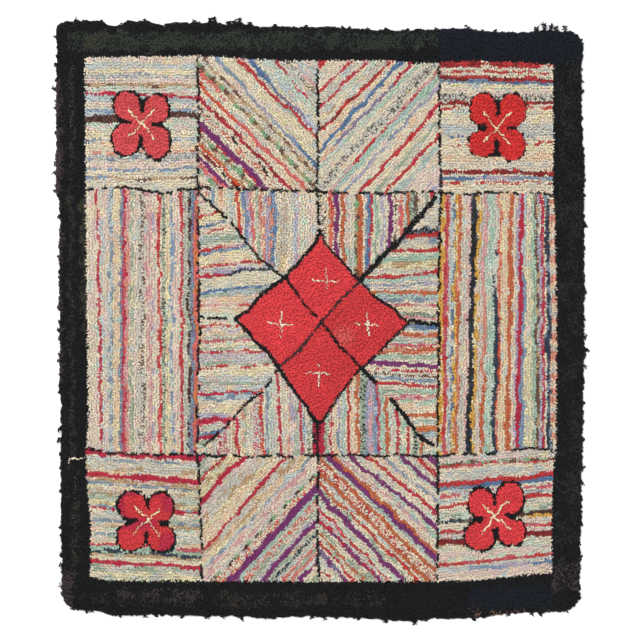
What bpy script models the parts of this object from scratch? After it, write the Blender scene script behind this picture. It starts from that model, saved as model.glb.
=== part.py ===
"""A hooked wool rug lying flat: one lumpy slab with a worn, ragged rim and loose wool locks.

Units are metres, +Z is up and +Y is the rug's long way, with its top edge at +Y.
The plan's measurements below are in millimetres from the middle of the rug.
"""

import math

import bmesh
import bpy
import numpy as np
from mathutils import Vector
from mathutils.geometry import delaunay_2d_cdt

MM = 0.001

# Size of the plain rectangle that the worn edges stray from
HALF_WIDTH = 525.0
HALF_LENGTH = 590.0
CORNER_RADII = {"top_left": 14.0, "top_right": 36.0, "bottom_right": 30.0, "bottom_left": 40.0}

# Pile and foundation
PILE_TOP = 9.6
PILE_SWELL = 0.9
PILE_LUMP = 0.85
LATTICE_STEP = 31.0
LATTICE_STRAY = 5.0
LATTICE_MARGIN = 21.0

# Rim: how far in each ring lies, how high it is and how much of the edge's raggedness it keeps
RIM_STEP = 6.2
RIM_RINGS = (
    {"inset": 0.0, "height": 3.2, "ragged": 1.0},
    {"inset": 3.6, "height": 7.4, "ragged": 0.55},
    {"inset": 10.0, "height": 9.2, "ragged": 0.15},
)
RIM_RAGGED = 1.8
RIM_WAVE = 0.9
SEED = 41

# Where each edge really lies: (place along the edge, distance from the middle)
TOP_EDGE = (
    (-517, 596), (-489, 600), (-435, 599), (-424, 590), (-401, 589), (-389, 598), (-341, 598),
    (-311, 589), (-300, 596), (-231, 595), (-191, 594), (-161, 595), (-125, 587), (19, 587),
    (49, 583), (159, 580), (239, 582), (293, 585), (319, 577), (419, 577), (449, 580), (520, 577),
)
RIGHT_EDGE = (
    (-545, 519), (-481, 521), (-221, 526), (-85, 528), (-67, 532), (-50, 529), (319, 529),
    (359, 525), (419, 525), (505, 522), (541, 527),
)
BOTTOM_EDGE = (
    (-499, 583), (-447, 584), (-421, 593), (-241, 594), (-120, 598), (19, 596), (59, 597),
    (119, 603), (179, 605), (219, 601), (311, 599), (359, 592), (389, 589), (459, 588), (499, 583),
)
LEFT_EDGE = (
    (-551, 519), (-401, 521), (-161, 521), (-121, 524), (239, 524), (250, 530), (471, 530),
    (519, 529),
)

# Loose locks of wool: (edge, place along it, length, sideways lean)
LOOSE_LOCKS = (
    ("top", -484, 5, 1), ("top", -352, 4, -1), ("top", -217, 9, -3), ("top", -204, 12, 4),
    ("top", -181, 7, -2), ("top", -168, 5, 1), ("top", -154, 8, 3), ("top", -140, 5, -1),
    ("top", 62, 4, 1), ("top", 296, 4, -2), ("top", 436, 9, -3), ("top", 449, 14, 2),
    ("top", 462, 11, -1), ("top", 477, 8, 3), ("top", 506, 9, 2),
    ("left", 463, 7, -2), ("left", 300, 4, 1), ("left", -66, 4, 1), ("left", -215, 8, 2),
    ("left", -243, 7, -2), ("left", -470, 4, 1),
    ("right", 452, 5, -1), ("right", 180, 4, 1), ("right", -67, 5, 2), ("right", -300, 4, -1),
    ("bottom", -470, 5, 1), ("bottom", -330, 4, -2), ("bottom", -160, 5, 2), ("bottom", 8, 4, 1),
    ("bottom", 128, 5, -2), ("bottom", 186, 6, 2), ("bottom", 300, 5, 1), ("bottom", 440, 5, -1),
)

# Short worn locks all round, between the loose ones
SHORT_LOCK_EVERY = 9
SHORT_LOCK_LENGTHS = (2.4, 4.6)
LOCK_WAIST = 0.62
LOCK_TIP = 0.22
LOCK_WAIST_AT = 0.55
LOCK_TIP_HEIGHT = 0.45
LOCK_GAP = 2

WOOL_COLOUR = (0.085, 0.075, 0.07, 1.0)
WOOL_ROUGHNESS = 0.95


def clear_scene():
    """Remove whatever is in the file before the rug is made."""
    for thing in list(bpy.data.objects):
        bpy.data.objects.remove(thing)
    for group in list(bpy.data.collections):
        bpy.data.collections.remove(group)


def side_reach(table, along):
    """Distance of an edge from the middle at a place along it."""
    places = [row[0] for row in table]
    reaches = [row[1] for row in table]
    return np.interp(along, places, reaches)


def corner_arc(middle_x, middle_y, radius, start_degrees):
    """Points and outward normals round one corner, anticlockwise."""
    count = max(2, round(radius * math.pi / 2 / RIM_STEP))
    turns = np.radians(start_degrees + 90.0 * (np.arange(count) + 0.5) / count)
    normals = np.stack([np.cos(turns), np.sin(turns)], axis=1)
    return np.array([middle_x, middle_y]) + radius * normals, normals


def straight_run(start, end, normal):
    """Points and normals along one straight edge, ends included."""
    length = math.dist(start, end)
    count = round(length / RIM_STEP)
    share = np.linspace(0.0, 1.0, count + 1)[:, None]
    points = np.array(start) * (1.0 - share) + np.array(end) * share
    return points, np.tile(np.array(normal, dtype=float), (count + 1, 1))


def plain_rim():
    """The rounded rectangle as points and outward normals, anticlockwise from the lower right."""
    w, h, r = HALF_WIDTH, HALF_LENGTH, CORNER_RADII
    br, tr, tl, bl = r["bottom_right"], r["top_right"], r["top_left"], r["bottom_left"]
    runs = (
        straight_run((w, -h + br), (w, h - tr), (1, 0)),
        corner_arc(w - tr, h - tr, tr, 0.0),
        straight_run((w - tr, h), (-w + tl, h), (0, 1)),
        corner_arc(-w + tl, h - tl, tl, 90.0),
        straight_run((-w, h - tl), (-w, -h + bl), (-1, 0)),
        corner_arc(-w + bl, -h + bl, bl, 180.0),
        straight_run((-w + bl, -h), (w - br, -h), (0, -1)),
        corner_arc(w - br, -h + br, br, 270.0),
    )
    return np.vstack([run[0] for run in runs]), np.vstack([run[1] for run in runs])


def worn_rim():
    """The rim as it really lies: points, outward normals and the raggedness at each point."""
    points, normals = plain_rim()
    x, y = points[:, 0], points[:, 1]
    sideways = np.where(normals[:, 0] > 0, side_reach(RIGHT_EDGE, y), side_reach(LEFT_EDGE, y))
    lengthways = np.where(normals[:, 1] > 0, side_reach(TOP_EDGE, x), side_reach(BOTTOM_EDGE, x))
    stray = np.abs(normals[:, 0]) * (sideways - HALF_WIDTH)
    stray += np.abs(normals[:, 1]) * (lengthways - HALF_LENGTH)
    turn = np.arange(len(points)) * RIM_STEP
    stray += RIM_WAVE * (0.6 * np.sin(turn / 23.0) + 0.4 * np.sin(turn / 9.7 + 1.3))
    ragged = np.random.default_rng(SEED).uniform(-1.0, 1.0, len(points)) * RIM_RAGGED
    return points + normals * stray[:, None], normals, ragged


def pile_height(x, y):
    """Height of the pile over the floor, with its soft unevenness, in millimetres."""
    swell = 0.5 * np.sin(x / 83.0 + 0.6) * np.cos(y / 97.0) + 0.5 * np.sin((x + 1.4 * y) / 131.0)
    lump = 0.6 * np.sin(x / 21.0 + 1.1 * np.sin(y / 34.0)) + 0.4 * np.cos(y / 17.0 + x / 45.0)
    return PILE_TOP + PILE_SWELL * swell + PILE_LUMP * lump


def ring_places(rim, ring):
    """Places of one rim ring, drawn in from the edge and up."""
    points, normals, ragged = rim
    offset = ragged * ring["ragged"] - ring["inset"]
    flat = points + normals * offset[:, None]
    unevenness = (pile_height(flat[:, 0], flat[:, 1]) - PILE_TOP) * ring["height"] / PILE_TOP
    return np.column_stack([flat, ring["height"] + unevenness])


def extrude_ring(bm, loop, places):
    """Extrude a closed loop of vertices and move the new loop to its places."""
    edges = [bm.edges.get((a, b)) for a, b in zip(loop, loop[1:] + loop[:1])]
    made = bmesh.ops.extrude_edge_only(bm, edges=edges)["geom"]
    fresh = {item for item in made if isinstance(item, bmesh.types.BMVert)}
    new_loop = []
    for vertex, place in zip(loop, places):
        twin = next(e.other_vert(vertex) for e in vertex.link_edges if e.other_vert(vertex) in fresh)
        twin.co = Vector(place) * MM
        new_loop.append(twin)
    return new_loop


def lattice_points(inner):
    """Points of the uneven pile inside the innermost ring, on a slightly strayed lattice."""
    rng = np.random.default_rng(SEED + 1)
    half_x, half_y = HALF_WIDTH - LATTICE_MARGIN, HALF_LENGTH - LATTICE_MARGIN
    across = np.linspace(-half_x, half_x, round(2 * half_x / LATTICE_STEP) + 1)
    along = np.linspace(-half_y, half_y, round(2 * half_y / LATTICE_STEP) + 1)
    grid = np.stack(np.meshgrid(across, along), axis=-1).reshape(-1, 2)
    grid += rng.uniform(-LATTICE_STRAY, LATTICE_STRAY, grid.shape)
    gap = np.linalg.norm(grid[:, None, :] - inner[None, :, :2], axis=2).min(axis=1)
    return grid[gap > LATTICE_STEP * 0.25]


def cover_top(bm, loop, inner):
    """Skin the pile inside the innermost ring."""
    grid = lattice_points(inner)
    rim_count = len(loop)
    flat = [Vector(p[:2]) for p in inner] + [Vector(p) for p in grid]
    border = [(i, (i + 1) % rim_count) for i in range(rim_count)]
    triangles = delaunay_2d_cdt(flat, border, [], 1, 1e-6)[2]
    heights = pile_height(grid[:, 0], grid[:, 1])
    tops = [bm.verts.new((x * MM, y * MM, z * MM)) for (x, y), z in zip(grid, heights)]
    vertices = loop + tops
    for triangle in triangles:
        bm.faces.new([vertices[i] for i in triangle])


def nearest_rim_index(rim, edge, along):
    """Index of the rim point of a named edge that is nearest to a place along it."""
    points, normals, _ = rim
    facing = {"right": (1, 0), "top": (0, 1), "left": (-1, 0), "bottom": (0, -1)}[edge]
    on_edge = normals @ np.array(facing, dtype=float) > 0.99
    place = points[:, 1] if edge in ("left", "right") else points[:, 0]
    return int(np.argmin(np.abs(place - along) + 1e6 * ~on_edge))


def lock_list(rim):
    """Rim index, length and lean of each lock, with a free rim step on both sides of it."""
    count = len(rim[0])
    taken = {}
    for edge, along, length, lean in LOOSE_LOCKS:
        index = nearest_rim_index(rim, edge, along)
        if all((index + step) % count not in taken for step in range(1 - LOCK_GAP, LOCK_GAP)):
            taken[index] = (length, lean)
    rng = np.random.default_rng(SEED + 2)
    for index in range(0, count, SHORT_LOCK_EVERY):
        index = (index + int(rng.integers(0, SHORT_LOCK_EVERY - LOCK_GAP))) % count
        length, lean = rng.uniform(*SHORT_LOCK_LENGTHS), rng.uniform(-1.5, 1.5)
        if all((index + step) % count not in taken for step in range(1 - LOCK_GAP, LOCK_GAP)):
            taken[index] = (length, lean)
    return sorted((index, *shape) for index, shape in taken.items())


def draw_out_lock(bm, wall, outward, length, lean):
    """Draw one face of the rim's wall out into a tapered lock that lies level on the floor."""
    sideways = Vector((-outward.y, outward.x, 0.0))
    root = wall.calc_center_median()
    full_height = max(v.co.z for v in wall.verts)
    steps = (
        (LOCK_WAIST_AT, LOCK_WAIST, 0.5, 0.8),
        (1.0, LOCK_TIP, 1.0, LOCK_TIP_HEIGHT),
    )
    half_width = (wall.verts[0].co - wall.verts[1].co).to_2d().length / 2
    half_width = max(half_width, (wall.verts[1].co - wall.verts[2].co).to_2d().length / 2)
    face = wall
    for reach, width, bend, height in steps:
        made = bmesh.ops.extrude_discrete_faces(bm, faces=[face])["faces"]
        face = made[0]
        middle = root + outward * (length * reach * MM) + sideways * (lean * bend * MM)
        for vertex in face.verts:
            side = 1.0 if (vertex.co - root).dot(sideways) > lean * bend * MM * 0.3 else -1.0
            raised = vertex.co.z > full_height * 0.2
            place = middle + sideways * (side * half_width * width)
            vertex.co = (place.x, place.y, full_height * height if raised else 0.0)


def build_rug():
    """Make the rug's mesh: flat underside, rounded ragged rim, locks and uneven pile."""
    rim = worn_rim()
    floor = rim[0] + rim[1] * rim[2][:, None]
    bm = bmesh.new()
    loop = [bm.verts.new((x * MM, y * MM, 0.0)) for x, y in floor]
    for a, b in zip(loop, loop[1:] + loop[:1]):
        bm.edges.new((a, b))
    underside = bm.faces.new(loop)
    inner = None
    walls = []
    for number, ring in enumerate(RIM_RINGS):
        inner = ring_places(rim, ring)
        upper = extrude_ring(bm, loop, inner)
        if number == 0:
            pairs = zip(loop, loop[1:] + loop[:1])
            walls = [next(f for f in bm.edges.get(pair).link_faces if f != underside) for pair in pairs]
        loop = upper
    cover_top(bm, loop, inner)
    normals = rim[1]
    for index, length, lean in lock_list(rim):
        outward = Vector((normals[index][0], normals[index][1], 0.0)).normalized()
        draw_out_lock(bm, walls[index], outward, length, lean)
    bmesh.ops.triangulate(bm, faces=bm.faces[:])
    bmesh.ops.recalc_face_normals(bm, faces=bm.faces[:])
    mesh = bpy.data.meshes.new("hooked_rug")
    bm.to_mesh(mesh)
    bm.free()
    return mesh


def centre_on_floor(mesh):
    """Shift the mesh so that the middle of its plan is over the origin and it stands on the floor."""
    places = np.array([v.co for v in mesh.vertices])
    low, high = places.min(axis=0), places.max(axis=0)
    shift = np.array([-(low[0] + high[0]) / 2, -(low[1] + high[1]) / 2, -low[2]])
    places += shift
    mesh.vertices.foreach_set("co", places.ravel())
    mesh.update()


def shade(mesh):
    """Smooth pile and rim over a flat underside."""
    for face in mesh.polygons:
        face.use_smooth = face.normal.z > -0.9


def wool_material():
    """Dark hooked wool, the colour of the border that most of the rim shows."""
    material = bpy.data.materials.new("hooked_wool")
    material.use_nodes = True
    principled = material.node_tree.nodes["Principled BSDF"]
    principled.inputs["Base Color"].default_value = WOOL_COLOUR
    principled.inputs["Roughness"].default_value = WOOL_ROUGHNESS
    return material


def main():
    clear_scene()
    collection = bpy.data.collections.new("Hooked rug")
    bpy.context.scene.collection.children.link(collection)
    mesh = build_rug()
    centre_on_floor(mesh)
    shade(mesh)
    mesh.materials.append(wool_material())
    rug = bpy.data.objects.new("hooked_rug", mesh)
    collection.objects.link(rug)


main()
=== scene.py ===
"""A hooked wool rug lying flat, seen from straight above.

The rug is a burlap foundation with rows of wool tufts pulled through it. Every tuft is a short arched
strand of its own, laid along hooked rows, and takes its colour from the hooker's charts below.
Plan measures are in millimetres from the middle of the rug's plain rectangle, +Y towards its top edge.
"""

import logging
import math
from dataclasses import dataclass
from enum import Enum

import bpy
import numpy as np
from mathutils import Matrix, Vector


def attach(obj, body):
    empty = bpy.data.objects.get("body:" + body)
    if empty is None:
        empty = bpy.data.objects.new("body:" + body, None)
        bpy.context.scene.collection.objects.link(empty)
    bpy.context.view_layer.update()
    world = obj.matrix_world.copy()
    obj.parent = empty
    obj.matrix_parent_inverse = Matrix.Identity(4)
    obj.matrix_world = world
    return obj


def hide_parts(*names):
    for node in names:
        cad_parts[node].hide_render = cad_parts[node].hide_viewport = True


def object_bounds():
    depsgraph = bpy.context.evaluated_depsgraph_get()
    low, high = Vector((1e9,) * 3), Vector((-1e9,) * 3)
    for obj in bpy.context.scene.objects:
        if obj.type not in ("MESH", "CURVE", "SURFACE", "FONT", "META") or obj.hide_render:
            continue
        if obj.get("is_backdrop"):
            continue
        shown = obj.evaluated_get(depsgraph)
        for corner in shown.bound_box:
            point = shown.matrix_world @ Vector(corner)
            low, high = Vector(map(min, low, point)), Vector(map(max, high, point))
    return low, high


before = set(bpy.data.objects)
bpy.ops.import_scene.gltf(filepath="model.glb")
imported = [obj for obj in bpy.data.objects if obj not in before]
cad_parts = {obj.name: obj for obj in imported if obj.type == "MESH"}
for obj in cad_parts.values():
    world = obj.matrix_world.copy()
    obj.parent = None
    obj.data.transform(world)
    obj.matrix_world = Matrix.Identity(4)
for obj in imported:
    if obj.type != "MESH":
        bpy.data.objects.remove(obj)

log = logging.getLogger("hooked_rug")
logging.basicConfig(level=logging.INFO, format="%(message)s")

MM = 0.001
NODE = "hooked_rug"

# The middle of the plain rectangle in the row frame, whose origin is the middle of the worn outline
PLAN_SHIFT = (0.85, 2.63)

# Hooked rows and tufts, in millimetres
ROW_PITCH = 5.2
STITCH = 1.75
TUFT_LENGTH = 7.4
TUFT_WIDTH = 3.1
BED_HEIGHT = 6.2
PILE_RISE = 3.3
STRAND_DEPTH = 1.3
RIM_FALL = 11.0
LINE_LIFT = 0.35
LINE_ROW_PITCH = 2.6
SPIKE_PITCH = 2.6
REACH = 830.0
SEED = 7

# Stands in for a divisor of nought
TINY = 1e-9


class Wool(Enum):
    """Dyed wools in the rug, as sRGB hex."""

    BLACK = "#131416"
    CHARCOAL = "#2A2B2D"
    NAVY = "#161A25"
    DEEP_BLUE = "#36404F"
    GREEN_GREY = "#30362F"
    OLIVE = "#3A3A2E"
    GREY_BROWN = "#37322D"
    MAUVE = "#43373B"
    SMOKE = "#5F5A55"
    CREAM = "#DCD1BA"
    STONE = "#C9C4B8"
    LEMON = "#DDD2AC"
    BLUSH = "#DBC4BA"
    PINK = "#D3A3A1"
    PALE_MINT = "#C5CFBE"
    MINT = "#A9C3B0"
    AQUA = "#AFBFBA"
    ICE = "#BDC5C5"
    BLUE = "#8499B2"
    DENIM = "#5B7B9F"
    SLATE = "#8496A5"
    LILAC = "#B1A8BC"
    VIOLET = "#827A98"
    PLUM = "#7E3770"
    ROSE = "#C65F6B"
    CRIMSON = "#BB3048"
    RED = "#BF3A3C"
    DIAMOND_RED = "#DA4247"
    DEEP_RED = "#D03D41"
    FADED_RED = "#D25155"
    SCARLET = "#D03432"
    MAROON = "#862B2C"
    ORANGE_RED = "#D2583A"
    CORAL = "#D8706A"
    SALMON = "#D6937F"
    PEACH = "#DFC4A6"
    ORANGE = "#D0814E"
    RUST = "#C26945"
    MUSTARD = "#D5A650"
    TAN = "#BC9F7A"
    BROWN = "#6F5244"
    DARK_BROWN = "#523431"
    SAGE = "#A2B09B"
    LEAF = "#80AC80"
    BURLAP = "#A98C62"


WOOLS = list(Wool)

# Stripes: the usual width, the gap between two strong ones that a pale one fills, and the most wools in one
STRIPE_WIDTH = 6.0
STRIPE_GAP = 3.0
MOST_WOOLS = 5

# The wools that odd flecks have, and those in which they lie
FLECKS = (Wool.LEMON, Wool.PEACH, Wool.BLUSH, Wool.STONE, Wool.PALE_MINT, Wool.ICE)
PALE = (Wool.CREAM, Wool.STONE, Wool.BLUSH, Wool.PALE_MINT, Wool.ICE, Wool.LEMON, Wool.PEACH)


class Blend(Enum):
    """How a stripe mixes its wools, with the mark that says so in a chart."""

    PLAIN = ""
    MOTTLED = "/"
    TWEED = "*"
    IN_RUNS = "|"
    CHANGING = ">"


@dataclass(frozen=True)
class Stripe:
    """One hooked stripe of a panel.

    Args:
        near: Distance of its middle from the panel's first edge where its rows start, in millimetres.
        far: The same where they end.
        wools: The wools in it, the main one first.
        blend: How they mix along the row.
        width: Its width where it lies among pale stripes.
        strong: Whether it shows among pale stripes, and so keeps its own width.
    """

    near: float
    far: float
    wools: tuple[Wool, ...]
    blend: Blend
    width: float
    strong: bool

    def clear_of(self, other: "Stripe") -> float:
        """The gap between it and the stripe before it, in millimetres."""
        return (self.near + self.far - other.near - other.far - self.width - other.width) / 2


def chart(text: str) -> tuple[Stripe, ...]:
    """Reads a hooker's chart.

    Args:
        text: Stripes parted by commas. Each is a distance in millimetres, or two with ~ between them for a
            stripe that leans, then its wools joined by a blend's mark, then its width if it isn't the usual.

    Returns:
        The stripes in order.
    """
    stripes = []
    for entry in text.split(","):
        place, words, *width = entry.split()
        near, _, far = place.partition("~")
        blend = next((b for b in Blend if b.value and b.value in words), Blend.PLAIN)
        names = words.split(blend.value) if blend.value else [words]
        wools = tuple(Wool[n.upper()] for n in names)
        breadth = float(width[0]) if width else STRIPE_WIDTH
        strong = bool(width) or wools[0] not in PALE
        stripe = Stripe(float(near), float(far or near), wools, blend, breadth, strong)
        if stripes and stripes[-1].strong and stripe.strong and stripe.clear_of(stripes[-1]) > STRIPE_GAP:
            ends = ((stripes[-1].near + stripe.near) / 2, (stripes[-1].far + stripe.far) / 2)
            stripes.append(Stripe(*ends, (Wool.CREAM, Wool.STONE), Blend.MOTTLED, 0.0, False))
        stripes.append(stripe)
    return tuple(stripes)


@dataclass(frozen=True)
class Panel:
    """A block of stripes in the field.

    Args:
        name: What the block is.
        start: The point that distances are measured from, in plan millimetres.
        bearing: Direction of its rows, in degrees anticlockwise from +X.
        stripes: Its chart, measured to the right of the bearing.
    """

    name: str
    start: tuple[float, float]
    bearing: float
    stripes: tuple[Stripe, ...]

    def measure(self, x: np.ndarray, y: np.ndarray) -> tuple[np.ndarray, np.ndarray]:
        """Gives the distance across the rows and the place along them.

        Args:
            x: Plan places across the rug.
            y: Plan places along the rug.

        Returns:
            Distance from the first edge and place along the rows, both in millimetres.
        """
        turn = math.radians(self.bearing)
        dx, dy = x - self.start[0], y - self.start[1]
        along = dx * math.cos(turn) + dy * math.sin(turn)
        return dx * math.sin(turn) - dy * math.cos(turn), along

    def edges(self, ending: bool) -> np.ndarray:
        """Finds where its stripes meet: at a strong one's side, or halfway between two of a kind.

        Args:
            ending: Whether at the far end of its rows, and not the near one.

        Returns:
            Distances from the first edge in millimetres.
        """
        middles = np.maximum.accumulate([s.far if ending else s.near for s in self.stripes])
        half = np.array([s.width / 2 for s in self.stripes])
        strong = np.array([s.strong for s in self.stripes])
        after, before = middles[:-1] + half[:-1], middles[1:] - half[1:]
        side = np.where(strong[:-1], np.minimum(after, middles[1:]), np.maximum(before, middles[:-1]))
        return np.where(strong[:-1] == strong[1:], (after + before) / 2, side)


# Field lines: (place along the line, where it lies)
FIELD_LEFT = (
    (-521, -460), (-470, -458), (-390, -459), (-320, -466), (-265, -467), (-200, -463), (0, -466),
    (200, -468), (523, -470),
)
FIELD_RIGHT = (
    (-521, 462), (-400, 461), (-300, 464), (-250, 470), (0, 471), (200, 468), (255, 464), (380, 465),
    (513, 464),
)
FIELD_TOP = (
    (-471, 522), (-245, 526), (-190, 523), (-80, 516), (60, 517), (130, 517), (190, 511), (300, 515),
    (400, 513), (471, 508),
)
FIELD_BOTTOM = (
    (-471, -508), (-455, -514), (-420, -521), (0, -523), (237, -522), (310, -520), (390, -512), (471, -504),
)
ROW_TOP = (
    (-471, 262), (-397, 265), (-345, 256), (-318, 253), (-290, 257), (-245, 263), (-190, 264), (-110, 258),
    (-10, 257), (60, 253), (130, 252), (215, 256), (280, 250), (330, 256), (385, 252), (430, 254), (471, 246),
)
ROW_BOTTOM = (
    (-471, -256), (-445, -261), (-420, -268), (-370, -271), (-250, -271), (-130, -275), (0, -271),
    (150, -272), (235, -274), (275, -270), (345, -266), (390, -261), (420, -257), (471, -264),
)
COLUMN_LEFT = (
    (-521, -236), (-400, -240), (-330, -242), (-270, -248), (-200, -246), (0, -243), (200, -245), (263, -246),
    (380, -243), (523, -247),
)
COLUMN_RIGHT = (
    (-521, 232), (-400, 234), (-265, 234), (-100, 236), (0, 236), (150, 238), (263, 240), (380, 239),
    (513, 236),
)
MIDDLE = ((-521, -3), (-400, -6), (-209, -7), (177, -3), (520, -5))

# The centre block's eight sectors start at these bearings from the diamond's middle
CENTRE = (1.0, -5.0)
SECTORS = (-0.9, 47.6, 91.3, 133.0, 178.0, 228.2, 268.5, 311.7)

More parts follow.
